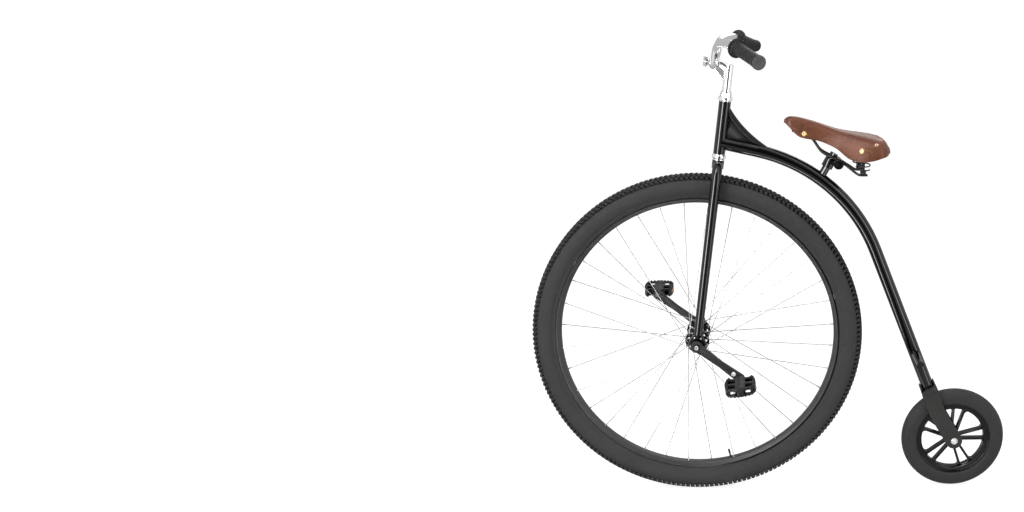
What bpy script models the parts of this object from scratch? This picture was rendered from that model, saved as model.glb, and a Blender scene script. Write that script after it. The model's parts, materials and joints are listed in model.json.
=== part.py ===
"""Penny farthing bicycle: a large pedalled front wheel and a small trailing wheel.

Metres, +Z up, +X towards the rear, -Y on the rider's left.
The origin is on top of the saddle, where the rider sits.
Inside the file, places are measured from the centre of the front axle.
"""
from math import acos, atan2, cos, pi, radians, sin

import bmesh
import bpy
from mathutils import Matrix, Vector

# Clearances
FIT = 0.0003                  # between pieces that touch
RUNNING_GAP = 0.006           # between moving pieces
CUTTER_REACH = 0.020          # how far a cutting shape runs past what it cuts

# Front wheel
FRONT_RADIUS = 0.457
FRONT_TYRE_WIDTH = 0.058
FRONT_TYRE_DEPTH = 0.0635
FRONT_BEAD_WIDTH = 0.034
FRONT_RIM_DEPTH = 0.0155
FRONT_RIM_INNER_WIDTH = 0.020
FRONT_SEGMENTS = 64
SPOKE_COUNT = 36
SPOKE_RADIUS = 0.0010
SPOKE_SWEEP = radians(58)     # how far round the hub a spoke starts from its rim hole
SPOKE_STAGGER = 0.0018        # crossing spokes pass this far each side of the flange's middle
SPOKE_RIM_OFFSET = 0.005
VALVE_RADIUS = 0.0030
VALVE_LENGTH = 0.0230
VALVE_ANGLE = radians(-76.5)  # round the wheel from +X

# Front hub and axle
FLANGE_RADIUS = 0.033
FLANGE_THICKNESS = 0.006
FLANGE_SPAN = 0.096
FLANGE_HOLE_INSET = 0.005
HUB_SHELL_RADIUS = 0.0165
AXLE_RADIUS = 0.0085
JOURNAL_RADIUS = 0.0125
CRANK_BOLT_RADIUS = 0.008
CRANK_BOLT_HEAD = 0.003

# Bearing holders at the foot of the fork
HOLDER_WIDTH = 0.022
HOLDER_OFFSET = 0.0755
HOLDER_HALF_LENGTH = 0.023
HOLDER_EAR_HEIGHT = 0.009
HOLDER_WALL = 0.007

# Cranks and pedals
CRANK_LENGTH = 0.1485
CRANK_ANGLE = radians(37.5)   # the left crank, below the horizontal, pointing back
CRANK_THICKNESS = 0.0125
CRANK_BOSS_RADIUS = 0.0155
CRANK_ROOT_HALF_WIDTH = 0.0105
CRANK_WAIST_HALF_WIDTH = 0.0088
CRANK_END_RADIUS = 0.0122
CRANK_SPARE_HOLE_INSET = 0.0235
CRANK_SPARE_HOLE_RADIUS = 0.0055
PEDAL_AXLE_RADIUS = 0.006
PEDAL_COLLAR_RADIUS = 0.0085
PEDAL_COLLAR_THICKNESS = 0.004
PEDAL_LENGTH = 0.084
PEDAL_WIDTH = 0.098
PEDAL_THICKNESS = 0.026
PEDAL_CAP = 0.008             # the closed outer end of its barrel
PEDAL_TURN = radians(-8)      # of the left pedal on its axle, rear end up
# Half of the pedal seen from above, as shares of its half length and of its width from the crank
PEDAL_OUTLINE = [
    (0.25, 0.000),
    (0.29, 0.087),
    (0.45, 0.128),
    (0.63, 0.102),
    (0.76, 0.031),
    (0.88, 0.122),
    (0.965, 0.306),
    (1.00, 0.500),
    (0.965, 0.704),
    (0.857, 0.857),
    (0.69, 0.949),
    (0.357, 0.990),
]
# Its openings, as shares too: from and to along its half length, from and to across
PEDAL_WINDOWS = [
    (0.32, 0.80, 0.19, 0.47),
    (0.32, 0.80, 0.57, 0.84),
]
REFLECTOR_SPOT = 0.965        # its face, as a share of the pedal's half length
REFLECTOR_WIDTH = 0.040
REFLECTOR_HEIGHT = 0.014
REFLECTOR_THICKNESS = 0.003

# Steering: everything here turns on one axis through the front axle
STEERING_LEAN = radians(7.1)
CROWN_GAP = 0.0115
BLADE_TOP_RADIUS = 0.0135
BLADE_FOOT_RADIUS = 0.0118
BLADE_SPREAD_TOP = 0.0500
BLADE_STRAIGHT_FROM = 0.060   # below the crown's underside
STEERER_RADIUS = 0.0127
STEERER_BORE = 0.0114
CROWN_COLLAR_RADIUS = 0.0160
CROWN_RACE_HEIGHT = 0.005
CUP_RADIUS = 0.0188
CUP_HEIGHT = 0.0125
HEAD_TUBE_LENGTH = 0.1400
HEAD_TUBE_RADIUS = 0.0159
HEAD_TUBE_BORE = 0.0142
LOCKNUT_RADIUS = 0.0150
LOCKNUT_HEIGHT = 0.0135

# Stem and handlebar
QUILL_RADIUS = 0.0111
QUILL_INSERTED = 0.050
QUILL_SHOWN = 0.0700
STEM_REACH = 0.0400
STEM_ARM_RADIUS = 0.0120
STEM_CLAMP_WALL = 0.0045
STEM_CLAMP_WIDTH = 0.034
STEM_RIB_DEPTH = 0.045
STEM_RIB_THICKNESS = 0.006
STEM_EAR_LENGTH = 0.016
STEM_EAR_THICKNESS = 0.014
STEM_STRAP_THICKNESS = 0.004
STEM_STRAP_WIDTH = 0.014
STEM_BOLT_RADIUS = 0.0060     # of its head and nut
STEM_BOLT_REACH = 0.0140      # above and below the clamp's middle
BAR_RADIUS = 0.0111
GRIP_LENGTH = 0.122
GRIP_RADIUS = 0.0158
GRIP_FLANGE_RADIUS = 0.0245
GRIP_FLANGE_THICKNESS = 0.006
GRIP_END_RADIUS = 0.0178
GRIP_END_THICKNESS = 0.007
BAR_STRAIGHT = 0.007          # straight bar that shows beside the clamp
BAR_SPREAD = 0.250            # from the middle of the bar out to where a grip begins
# Half of the bar outside its straight middle: out as a share of the spread, back, up
BAR_ROUTE = [
    (0.22, 0.0026, 0.0210),
    (0.34, 0.0050, 0.0440),
    (0.48, 0.0126, 0.0560),
    (0.64, 0.0240, 0.0605),
    (0.82, 0.0390, 0.0612),
    (1.00, 0.0535, 0.0580),
]
BAR_END_DIRECTION = (0.115, 0.0568, -0.0215)

# Backbone: a straight stretch, one arc and a straight tail that ends above the rear axle
BACKBONE_RADIUS = 0.0175
BACKBONE_HEAD_RISE = 0.0300   # centre line above the head tube's lower end
BACKBONE_HEAD_SLOPE = radians(12.6)
BACKBONE_TAIL_SLOPE = radians(68.1)
BACKBONE_HEAD_STRAIGHT = 0.1009
BACKBONE_BEND_RADIUS = 0.4541
BACKBONE_STEPS = 18

# Gusset between the head tube and the backbone
GUSSET_RISE = 0.1200          # where its strip leaves the head tube, above the tube's lower end
GUSSET_RUN = 0.1200           # where its strip meets the backbone, from the head tube's axis
GUSSET_KNEE_RUN = 0.028       # where its curve turns, clear of the head tube and the backbone
GUSSET_KNEE_RISE = 0.022
GUSSET_STRIP_RADIUS = 0.0085
GUSSET_WEB_THICKNESS = 0.006

# Seat post and clamp; the saddle's places are measured from the middle of the clamp on the post
SEAT_POST_RADIUS = 0.0110
SEAT_POST_LEAN = radians(29)
SEAT_POST_ALONG = 0.2861      # its foot on the backbone's centre line, from the head axis
SEAT_POST_HEIGHT = 0.0490     # the clamp's middle above the foot
SEAT_POST_TOP = 0.030
SEAT_CLAMP_WALL = 0.005
SEAT_CLAMP_HEIGHT = 0.026
SEAT_BARREL_RADIUS = 0.0130
SEAT_BARREL_BACK = 0.0240
SEAT_DISC_THICKNESS = 0.007
SEAT_BOLT_RADIUS = 0.004
RIDER_BACK = 0.0730           # the saddle's top, where the rider sits
RIDER_UP = 0.0820
RAIL_CLAMPED_OUT = 0.0220     # the rails' places in the clamp, from the middle
RAIL_RADIUS = 0.0035
SPRING_BACK = 0.0870
SPRING_TOP = 0.0210
SPRING_POST_RADIUS = 0.0080
COIL_RADIUS = 0.0180
COIL_WIRE_RADIUS = 0.0018
COIL_TURNS = 2
COIL_STEPS = 9                # in a turn
COIL_CLEARANCE = 0.0085       # the coil's first turn above the foot of its post
COIL_TOP_GAP = 0.0045
LEATHER_THICKNESS = 0.0045
CANTLE_CLEARANCE = 0.0013
CANTLE_THICKNESS = 0.0040
NOSE_BLOCK_LENGTH = 0.0120
NOSE_BLOCK_GAP = 0.0012       # in front of the rails' ends

# Step on the backbone's left side, with a groove along its top
STEP_ROOT_RADIUS = 0.0118
STEP_END_RADIUS = 0.0090
STEP_LENGTH = 0.1000
STEP_GROOVE_HALF_WIDTH = 0.0070
STEP_GROOVE_END = 0.0800
STEP_UP_TAIL = 0.1100         # from the tail's end, along the backbone

# Rear wheel and its fork
REAR_TAIL_GAP = 0.0260        # from the tyre to the backbone's tail end
REAR_TAIL_SLOPE = radians(63.64)   # of the line from the tail's end down to the axle
REAR_RADIUS = 0.1465
REAR_TYRE_WIDTH = 0.042
REAR_TYRE_DEPTH = 0.0420
REAR_BEAD_WIDTH = 0.034
REAR_RIM_DEPTH = 0.0145
REAR_HUB_RADIUS = 0.0200
REAR_SPOKE_PAIRS = 5
REAR_SPOKE_WIDTH = 0.0068
REAR_SPOKE_DEPTH = 0.0160
REAR_SPOKE_SPREAD = radians(20)
REAR_SPOKE_TURN = radians(8)
REAR_SPOKE_FLARE = 0.0035     # wider on each side where a spoke meets the rim
REAR_SPOKE_FLARE_LENGTH = 0.0130
REAR_AXLE_RADIUS = 0.0080
REAR_BOLT_RADIUS = 0.0090
REAR_BOLT_HEAD = 0.006
REAR_PLATE_THICKNESS = 0.006
REAR_PLATE_END_RADIUS = 0.0235
REAR_PLATE_TOP_HALF_WIDTH = 0.0225
REAR_PLATE_TURN_UP = 0.0980   # the plate's bend, from the axle along its lower limb
REAR_CROWN_THICKNESS = 0.0170
REAR_BAND_THICKNESS = 0.0105  # the crown's upper part, over the plates' ends
REAR_EAR_HEIGHT = 0.012
REAR_EAR_THICKNESS = 0.004
REAR_EAR_WIDTH = 0.026
REAR_CROWN_OVERLAP = 0.002    # how far its parts run into each other

# Worked-out places, from the front axle
CROWN_UNDER = FRONT_RADIUS + CROWN_GAP
CROWN_TOP = CROWN_UNDER + 2 * BLADE_TOP_RADIUS
LOWER_CUP_BOTTOM = CROWN_TOP + CROWN_RACE_HEIGHT
HEAD_BOTTOM = LOWER_CUP_BOTTOM + CUP_HEIGHT
HEAD_TOP = HEAD_BOTTOM + HEAD_TUBE_LENGTH
LOCKNUT_BOTTOM = HEAD_TOP + CUP_HEIGHT
LOCKNUT_TOP = LOCKNUT_BOTTOM + LOCKNUT_HEIGHT
QUILL_TOP = LOCKNUT_TOP + QUILL_SHOWN
BEAD_RADIUS = FRONT_RADIUS - FRONT_TYRE_DEPTH
CRANK_INSIDE = HOLDER_OFFSET + HOLDER_WIDTH / 2 + RUNNING_GAP
CRANK_OUTSIDE = CRANK_INSIDE + CRANK_THICKNESS
REAR_UP = REAR_RADIUS - FRONT_RADIUS
TAIL_TO_AXLE = (REAR_RADIUS + REAR_TAIL_GAP) * Vector((cos(REAR_TAIL_SLOPE), -sin(REAR_TAIL_SLOPE)))
REAR_PLATE_INSIDE = REAR_TYRE_WIDTH / 2 + RUNNING_GAP
REAR_PLATE_OUTSIDE = REAR_PLATE_INSIDE + REAR_PLATE_THICKNESS

# Finishes: colour, roughness, metallic
FINISHES = {
    "black_paint": ((0.012, 0.012, 0.013), 0.18, 0.0),
    "satin_black": ((0.045, 0.045, 0.047), 0.45, 0.0),
    "chrome": ((0.80, 0.81, 0.82), 0.10, 1.0),
    "tyre_rubber": ((0.075, 0.075, 0.078), 0.75, 0.0),
    "grip_rubber": ((0.045, 0.045, 0.046), 0.60, 0.0),
    "black_plastic": ((0.020, 0.020, 0.021), 0.45, 0.0),
    "amber": ((0.85, 0.30, 0.02), 0.25, 0.0),
    "leather": ((0.24, 0.10, 0.07), 0.45, 0.0),
}


def clear_scene():
    for old in list(bpy.data.objects):
        bpy.data.objects.remove(old, do_unlink=True)


def finish(name):
    """The material of that name, made on first use."""
    known = bpy.data.materials.get(name)
    if known:
        return known
    colour, roughness, metallic = FINISHES[name]
    made = bpy.data.materials.new(name)
    made.use_nodes = True
    shader = made.node_tree.nodes["Principled BSDF"]
    shader.inputs["Base Color"].default_value = (*colour, 1.0)
    shader.inputs["Roughness"].default_value = roughness
    shader.inputs["Metallic"].default_value = metallic
    made.diffuse_color = (*colour, 1.0)
    return made


def empty(name, parent=None, location=(0, 0, 0), turn=0.0):
    """An axis to hang pieces on, turned about Y."""
    axis = bpy.data.objects.new(name, None)
    bpy.context.collection.objects.link(axis)
    axis.location = location
    axis.rotation_euler = (0, turn, 0)
    axis.parent = parent
    return axis


def piece(name, shape, parent, material, smooth_below=radians(38)):
    """One node from a bmesh, which is used up."""
    bmesh.ops.recalc_face_normals(shape, faces=shape.faces)
    mesh = bpy.data.meshes.new(name)
    shape.to_mesh(mesh)
    shape.free()
    mesh.shade_smooth()
    mesh.set_sharp_from_angle(angle=smooth_below)
    made = bpy.data.objects.new(name, mesh)
    bpy.context.collection.objects.link(made)
    made.parent = parent
    mesh.materials.append(finish(material))
    return made


def helper(name, shape, parent):
    """A hidden shape that a Boolean reads."""
    made = piece(name, shape, parent, "satin_black")
    made.hide_render = True
    made.display_type = "WIRE"
    return made


def combine(target, tool, operation):
    change = target.modifiers.new(operation.lower() + "_" + tool.name, "BOOLEAN")
    change.operation = operation
    change.object = tool
    change.solver = "EXACT"
    return target


def cut(target, *tools):
    for tool in tools:
        combine(target, tool, "DIFFERENCE")
    return target


def join(target, *tools):
    for tool in tools:
        combine(target, tool, "UNION")
    return target


def soften(target, width, segments=1, angle=radians(50)):
    edge = target.modifiers.new("soft_edges", "BEVEL")
    edge.width = width
    edge.segments = segments
    edge.limit_method = "ANGLE"
    edge.angle_limit = angle
    return target


def turned(profile, axis, segments, start=(0, 0, 0)):
    """A closed (radius, along) outline turned round Y or Z."""
    shape = bmesh.new()
    upright = axis == "Z"
    ring = [shape.verts.new((r, 0, a) if upright else (r, a, 0)) for r, a in profile]
    edges = []
    for here, there in zip(ring, ring[1:] + ring[:1]):
        if here.co.x > 0 or there.co.x > 0:
            edges.append(shape.edges.new((here, there)))
    bmesh.ops.spin(
        shape, geom=ring + edges, cent=(0, 0, 0),
        axis=(0, 0, 1) if upright else (0, 1, 0),
        angle=2 * pi, steps=segments, use_merge=True)
    bmesh.ops.remove_doubles(shape, verts=shape.verts, dist=1e-6)
    bmesh.ops.translate(shape, vec=start, verts=shape.verts)
    return shape


def rod(radius, low, high, axis, segments, start=(0, 0, 0)):
    return turned([(0, low), (radius, low), (radius, high), (0, high)], axis, segments, start)


def ring(inner, outer, low, high, axis, segments, start=(0, 0, 0)):
    profile = [(inner, low), (outer, low), (outer, high), (inner, high)]
    return turned(profile, axis, segments, start)


def plate(outline, low, high):
    """An (x, z) outline with thickness along Y."""
    shape = bmesh.new()
    base = shape.faces.new([shape.verts.new((x, low, z)) for x, z in outline])
    lifted = bmesh.ops.extrude_face_region(shape, geom=[base])["geom"]
    moved = [part for part in lifted if isinstance(part, bmesh.types.BMVert)]
    bmesh.ops.translate(shape, vec=(0, high - low, 0), verts=moved)
    return shape


def slab(outline, low, high):
    """An (x, y) outline with thickness along Z."""
    shape = plate([(x, -y) for x, y in outline], low, high)
    bmesh.ops.rotate(shape, cent=(0, 0, 0), matrix=Matrix.Rotation(pi / 2, 3, "X"), verts=shape.verts)
    return shape


def block(size, centre=(0, 0, 0), turn=0.0):
    """A box turned about Y."""
    place = Matrix.Translation(centre) @ Matrix.Rotation(turn, 4, "Y") @ Matrix.Diagonal((*size, 1))
    shape = bmesh.new()
    bmesh.ops.create_cube(shape, size=1, matrix=place)
    return shape


def arc(centre, radius, start, end, steps):
    """Points of a circle in the X-Z plane, from one angle to another."""
    points = []
    for step in range(steps + 1):
        angle = start + (end - start) * step / steps
        points.append((centre[0] + radius * cos(angle), centre[1] + radius * sin(angle)))
    return points


def smooth_path(points, per_span):
    """A smooth curve through the points (Catmull-Rom)."""
    knots = [Vector(p) for p in points]
    knots = [2 * knots[0] - knots[1]] + knots + [2 * knots[-1] - knots[-2]]
    path = []
    for a, b, c, d in zip(knots, knots[1:], knots[2:], knots[3:]):
        for step in range(per_span):
            t = step / per_span
            path.append(0.5 * (2 * b + (c - a) * t + (2 * a - 5 * b + 4 * c - d) * t ** 2
                               + (3 * b - a - 3 * c + d) * t ** 3))
    path.append(knots[-2])
    return path


def tube(path, radius, fineness, end_radius=None):
    """A round bar along a path; fineness 2 gives 8 sides, 6 gives 16."""
    line = bpy.data.curves.new("route", "CURVE")
    line.dimensions = "3D"
    line.bevel_depth = 1.0
    line.bevel_resolution = fineness
    line.use_fill_caps = True
    spline = line.splines.new("POLY")
    spline.points.add(len(path) - 1)
    last = len(path) - 1
    for index, (point, place) in enumerate(zip(spline.points, path)):
        point.co = (*place, 1)
        point.radius = radius + ((end_radius or radius) - radius) * index / last
    holder = bpy.data.objects.new("route", line)
    bpy.context.collection.objects.link(holder)
    mesh = bpy.data.meshes.new_from_object(holder)
    shape = bmesh.new()
    shape.from_mesh(mesh)
    bmesh.ops.remove_doubles(shape, verts=shape.verts, dist=1e-6)
    bpy.data.objects.remove(holder)
    bpy.data.curves.remove(line)
    bpy.data.meshes.remove(mesh)
    return shape


def leaning_bar(low, low_radius, high, high_radius, segments):
    """A round tapered bar between two centres, with both end faces level."""
    shape = bmesh.new()
    for centre, radius in ((low, low_radius), (high, high_radius)):
        bmesh.ops.create_circle(
            shape, cap_ends=True, segments=segments, radius=radius, matrix=Matrix.Translation(centre))
    bmesh.ops.bridge_loops(shape, edges=shape.edges[:])
    return shape


def merged(*shapes):
    """Shapes that don't touch, in one bmesh."""
    whole = shapes[0]
    for extra in shapes[1:]:
        mesh = bpy.data.meshes.new("extra")
        extra.to_mesh(mesh)
        whole.from_mesh(mesh)
        extra.free()
        bpy.data.meshes.remove(mesh)
    return whole


def mirrored(shape):
    """The same shape on the other side of the bicycle."""
    bmesh.ops.scale(shape, vec=(1, -1, 1), verts=shape.verts)
    return shape


def tyre_outline(outer, width, depth, base_width, steps):
    """A tyre's section: an oval on a flat base between the rim's edges."""
    inner = outer - depth
    middle = outer - depth / 2
    reach = pi - acos(0.78)
    crown = []
    for step in range(steps + 1):
        angle = -reach + 2 * reach * step / steps
        crown.append((middle + depth / 2 * cos(angle), width / 2 * sin(angle)))
    return [(inner, -base_width / 2)] + crown + [(inner, base_width / 2)]


def rim_outline(bead, depth, width, inner_width):
    """A box rim with sloping sides, just inside the tyre."""
    outer = bead - FIT
    inner = bead - depth
    half, low = width / 2, inner_width / 2
    slope = outer - 0.35 * depth
    return [(outer, -half), (slope, -half), (inner, -low), (inner, low), (slope, half), (outer, half)]


def build_front_wheel(axis):
    tyre = tyre_outline(FRONT_RADIUS, FRONT_TYRE_WIDTH, FRONT_TYRE_DEPTH, FRONT_BEAD_WIDTH, 8)
    piece("front_tyre", turned(tyre, "Y", FRONT_SEGMENTS), axis, "tyre_rubber")
    rim = rim_outline(BEAD_RADIUS, FRONT_RIM_DEPTH, FRONT_BEAD_WIDTH, FRONT_RIM_INNER_WIDTH)
    piece("front_rim", turned(rim, "Y", FRONT_SEGMENTS), axis, "satin_black")
    rim_inside = (BEAD_RADIUS - FRONT_RIM_DEPTH) * cos(pi / FRONT_SEGMENTS) - 2 * FIT
    ends = [(r * cos(VALVE_ANGLE), 0, r * sin(VALVE_ANGLE)) for r in (rim_inside, rim_inside - VALVE_LENGTH)]
    piece("valve_stem", tube(ends, VALVE_RADIUS, 2), axis, "black_plastic")

    bore = AXLE_RADIUS + FIT
    half = FLANGE_SPAN / 2
    inside = half - FLANGE_THICKNESS
    collar = HOLDER_OFFSET - HOLDER_WIDTH / 2 - RUNNING_GAP / 2
    right = [(HUB_SHELL_RADIUS, inside), (FLANGE_RADIUS, inside), (FLANGE_RADIUS, half),
             (HUB_SHELL_RADIUS, half), (HUB_SHELL_RADIUS, collar), (bore, collar)]
    left = [(r, -a) for r, a in reversed(right)]
    hub = piece("front_hub_and_spokes", turned(left + right, "Y", 24), axis, "chrome")
    join(hub, helper("spoke_set", spoke_set(), axis))

    tip = CRANK_OUTSIDE + FIT + CRANK_BOLT_HEAD
    seat = CRANK_OUTSIDE + FIT
    journal = HOLDER_WIDTH / 2 + RUNNING_GAP / 4
    half_axle = [(AXLE_RADIUS, HOLDER_OFFSET - journal), (JOURNAL_RADIUS, HOLDER_OFFSET - journal),
                 (JOURNAL_RADIUS, HOLDER_OFFSET + journal), (AXLE_RADIUS, HOLDER_OFFSET + journal),
                 (AXLE_RADIUS, seat), (CRANK_BOLT_RADIUS + AXLE_RADIUS / 4, seat),
                 (CRANK_BOLT_RADIUS, tip), (0, tip)]
    other = [(r, -a) for r, a in reversed(half_axle)]
    piece("front_axle", turned(other + half_axle, "Y", 16), axis, "chrome")


def spoke_set():
    """Spokes from both flanges to the rim, alternately leading and trailing."""
    shapes = []
    start_radius = FLANGE_RADIUS - FLANGE_HOLE_INSET
    end_radius = (BEAD_RADIUS - FRONT_RIM_DEPTH) * cos(pi / FRONT_SEGMENTS) - 3 * FIT
    middle = FLANGE_SPAN / 2 - FLANGE_THICKNESS / 2
    for index in range(SPOKE_COUNT):
        side = 1 if index % 2 else -1
        lead = 1 if index % 4 < 2 else -1
        rim_angle = 2 * pi * (index + 0.5) / SPOKE_COUNT
        hub_angle = rim_angle + lead * SPOKE_SWEEP
        start_y = side * (middle + lead * SPOKE_STAGGER)
        start = (start_radius * cos(hub_angle), start_y, start_radius * sin(hub_angle))
        end = (end_radius * cos(rim_angle), side * SPOKE_RIM_OFFSET, end_radius * sin(rim_angle))
        shapes.append(tube([start, end], SPOKE_RADIUS, 0))
    return merged(*shapes)


def crank_shape():
    """An arm along +X with a round boss, a pedal hole and a second pedal hole nearer the boss."""
    flare, waist = 1.6 * CRANK_BOSS_RADIUS, 0.55 * CRANK_LENGTH
    boss = arc((0, 0), CRANK_BOSS_RADIUS, radians(50), radians(310), 16)
    end = arc((CRANK_LENGTH, 0), CRANK_END_RADIUS, radians(-90), radians(90), 8)
    outline = boss + [(flare, -CRANK_ROOT_HALF_WIDTH), (waist, -CRANK_WAIST_HALF_WIDTH)]
    outline += end + [(waist, CRANK_WAIST_HALF_WIDTH), (flare, CRANK_ROOT_HALF_WIDTH)]
    return plate(outline, CRANK_INSIDE, CRANK_OUTSIDE)


def build_crank(side, axis, pedal_axis):
    name = "left" if side < 0 else "right"
    crank = piece("crank_" + name, side_of(crank_shape(), side), axis, "satin_black")
    soften(crank, 0.0015, 1, radians(70))
    low, high = CRANK_INSIDE - CUTTER_REACH, CRANK_OUTSIDE + CUTTER_REACH
    spots = [(0, AXLE_RADIUS + FIT), (CRANK_LENGTH, PEDAL_AXLE_RADIUS + FIT),
             (CRANK_LENGTH - CRANK_SPARE_HOLE_INSET, CRANK_SPARE_HOLE_RADIUS)]
    holes = [rod(radius, low, high, "Y", 16, (along, 0, 0)) for along, radius in spots]
    cut(crank, helper("crank_holes_" + name, side_of(merged(*holes), side), axis))

    seat = CRANK_OUTSIDE + FIT
    collar = seat + PEDAL_COLLAR_THICKNESS
    tip = collar + PEDAL_WIDTH - PEDAL_CAP - 2 * FIT
    axle = [(0, CRANK_INSIDE), (PEDAL_AXLE_RADIUS, CRANK_INSIDE), (PEDAL_AXLE_RADIUS, seat),
            (PEDAL_COLLAR_RADIUS, seat), (PEDAL_COLLAR_RADIUS, collar),
            (PEDAL_AXLE_RADIUS, collar), (PEDAL_AXLE_RADIUS, tip), (0, tip)]
    piece("pedal_axle_" + name, side_of(turned(axle, "Y", 16), side), pedal_axis, "chrome")


def side_of(shape, side):
    return mirrored(shape) if side < 0 else shape


def build_pedal(side, axis):
    """A platform pedal: scalloped towards the crank, open round a barrel that is closed at its end."""
    name = "left" if side < 0 else "right"
    inside = CRANK_OUTSIDE + PEDAL_COLLAR_THICKNESS + 2 * FIT
    half = PEDAL_LENGTH / 2
    rear = [(along * half, inside + across * PEDAL_WIDTH) for along, across in PEDAL_OUTLINE]
    outline = rear + [(0, inside + PEDAL_WIDTH)] + [(-x, y) for x, y in reversed(rear)]
    shape = slab(outline, -PEDAL_THICKNESS / 2, PEDAL_THICKNESS / 2)
    body = piece("pedal_" + name, side_of(shape, side), axis, "black_plastic", radians(30))
    soften(body, 0.0025, 1, radians(60))
    openings = []
    for end in (-1, 1):
        for start, stop, low, high in PEDAL_WINDOWS:
            size = (half * (stop - start), PEDAL_WIDTH * (high - low), 2 * PEDAL_THICKNESS)
            spot = (end * half * (start + stop) / 2, inside + PEDAL_WIDTH * (low + high) / 2, 0)
            openings.append(block(size, spot))
    cut(body, helper("pedal_windows_" + name, side_of(merged(*openings), side), axis))
    bore = rod(PEDAL_AXLE_RADIUS + FIT, inside - CUTTER_REACH, inside + PEDAL_WIDTH - PEDAL_CAP, "Y", 16)
    cut(body, helper("pedal_bore_" + name, side_of(bore, side), axis))
    middle = inside + PEDAL_WIDTH / 2
    deep = REFLECTOR_THICKNESS + FIT
    for end, label in ((-1, "front"), (1, "rear")):
        face = end * half * REFLECTOR_SPOT
        size = (2 * deep, REFLECTOR_WIDTH + 2 * FIT, REFLECTOR_HEIGHT + 2 * FIT)
        pocket = block(size, (face, side * middle, 0))
        cut(body, helper("pedal_pocket_%s_%s" % (name, label), pocket, axis))
        spot = (face - end * REFLECTOR_THICKNESS / 2, side * middle, 0)
        shape = block((REFLECTOR_THICKNESS, REFLECTOR_WIDTH, REFLECTOR_HEIGHT), spot)
        piece("pedal_%s_reflector_%s" % (name, label), shape, axis, "amber")


def build_fork(axis):
    arch_up = CROWN_UNDER + BLADE_TOP_RADIUS
    foot = HOLDER_EAR_HEIGHT + JOURNAL_RADIUS + HOLDER_WALL
    straight = CROWN_UNDER - BLADE_STRAIGHT_FROM
    arch = arch_points(arch_up)
    crown = piece("fork_crown", tube(arch, BLADE_TOP_RADIUS, 4), axis, "black_paint")
    collar = rod(CROWN_COLLAR_RADIUS, CROWN_UNDER + 0.4 * BLADE_TOP_RADIUS, CROWN_TOP + FIT, "Z", 24)
    steerer = ring(STEERER_BORE, STEERER_RADIUS, CROWN_TOP - BLADE_TOP_RADIUS / 2,
                   LOCKNUT_TOP - LOCKNUT_HEIGHT / 2, "Z", 24)
    join(crown, helper("crown_collar", collar, axis), helper("steerer", steerer, axis))
    for side, name in ((-1, "left"), (1, "right")):
        top = (0, side * BLADE_SPREAD_TOP, straight - FIT)
        low = (0, side * HOLDER_OFFSET, foot)
        bar = leaning_bar(low, BLADE_FOOT_RADIUS, top, BLADE_TOP_RADIUS, 16)
        piece("fork_blade_" + name, bar, axis, "black_paint")
    race = ring(STEERER_RADIUS + FIT, CUP_RADIUS - 0.003, CROWN_TOP + 2 * FIT,
                LOWER_CUP_BOTTOM - FIT, "Z", 24)
    piece("crown_race", race, axis, "chrome")
    locknut = ring(STEERER_RADIUS + FIT, LOCKNUT_RADIUS, LOCKNUT_BOTTOM + FIT, LOCKNUT_TOP - FIT, "Z", 24)
    piece("headset_locknut", locknut, axis, "chrome")


def arch_points(arch_up):
    """The crown's arch, from the top of one blade over the tyre to the other."""
    bend = BLADE_SPREAD_TOP - CROWN_COLLAR_RADIUS
    low = CROWN_UNDER - BLADE_STRAIGHT_FROM
    right = [(0, BLADE_SPREAD_TOP, low)]
    for y, z in arc((BLADE_SPREAD_TOP - bend, arch_up - bend), bend, 0, pi / 2, 5):
        right.append((0, y, z))
    left = [(x, -y, z) for x, y, z in right]
    return [Vector(p) for p in left + right[::-1]]


def build_bearing_holder(side, axis):
    """A split block round the axle: the upper half on the blade, a cap below."""
    name = "left" if side < 0 else "right"
    low = HOLDER_OFFSET - HOLDER_WIDTH / 2
    high = HOLDER_OFFSET + HOLDER_WIDTH / 2
    bore = JOURNAL_RADIUS + FIT
    shell = bore + HOLDER_WALL
    top = HOLDER_EAR_HEIGHT + JOURNAL_RADIUS + HOLDER_WALL - FIT
    notch = arc((0, FIT), bore, pi, 0, 10)
    upper = notch + [(HOLDER_HALF_LENGTH, FIT), (HOLDER_HALF_LENGTH, HOLDER_EAR_HEIGHT),
                     (BLADE_FOOT_RADIUS, top), (-BLADE_FOOT_RADIUS, top),
                     (-HOLDER_HALF_LENGTH, HOLDER_EAR_HEIGHT), (-HOLDER_HALF_LENGTH, FIT)]
    block_shape = side_of(plate(upper, low, high), side)
    soften(piece("bearing_holder_" + name, block_shape, axis, "black_paint"), 0.001)
    reach = acos(HOLDER_EAR_HEIGHT * 0.8 / shell)
    lower_arc = arc((0, -FIT), shell, -pi / 2 + reach, -pi / 2 - reach, 10)
    start = (HOLDER_HALF_LENGTH, -FIT - HOLDER_EAR_HEIGHT * 0.8)
    lower = arc((0, -FIT), bore, pi, 2 * pi, 10) + [(HOLDER_HALF_LENGTH, -FIT), start]
    lower += lower_arc + [(-HOLDER_HALF_LENGTH, start[1]), (-HOLDER_HALF_LENGTH, -FIT)]
    cap = side_of(plate(lower, low, high), side)
    soften(piece("bearing_cap_" + name, cap, axis, "black_paint"), 0.001)


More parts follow.
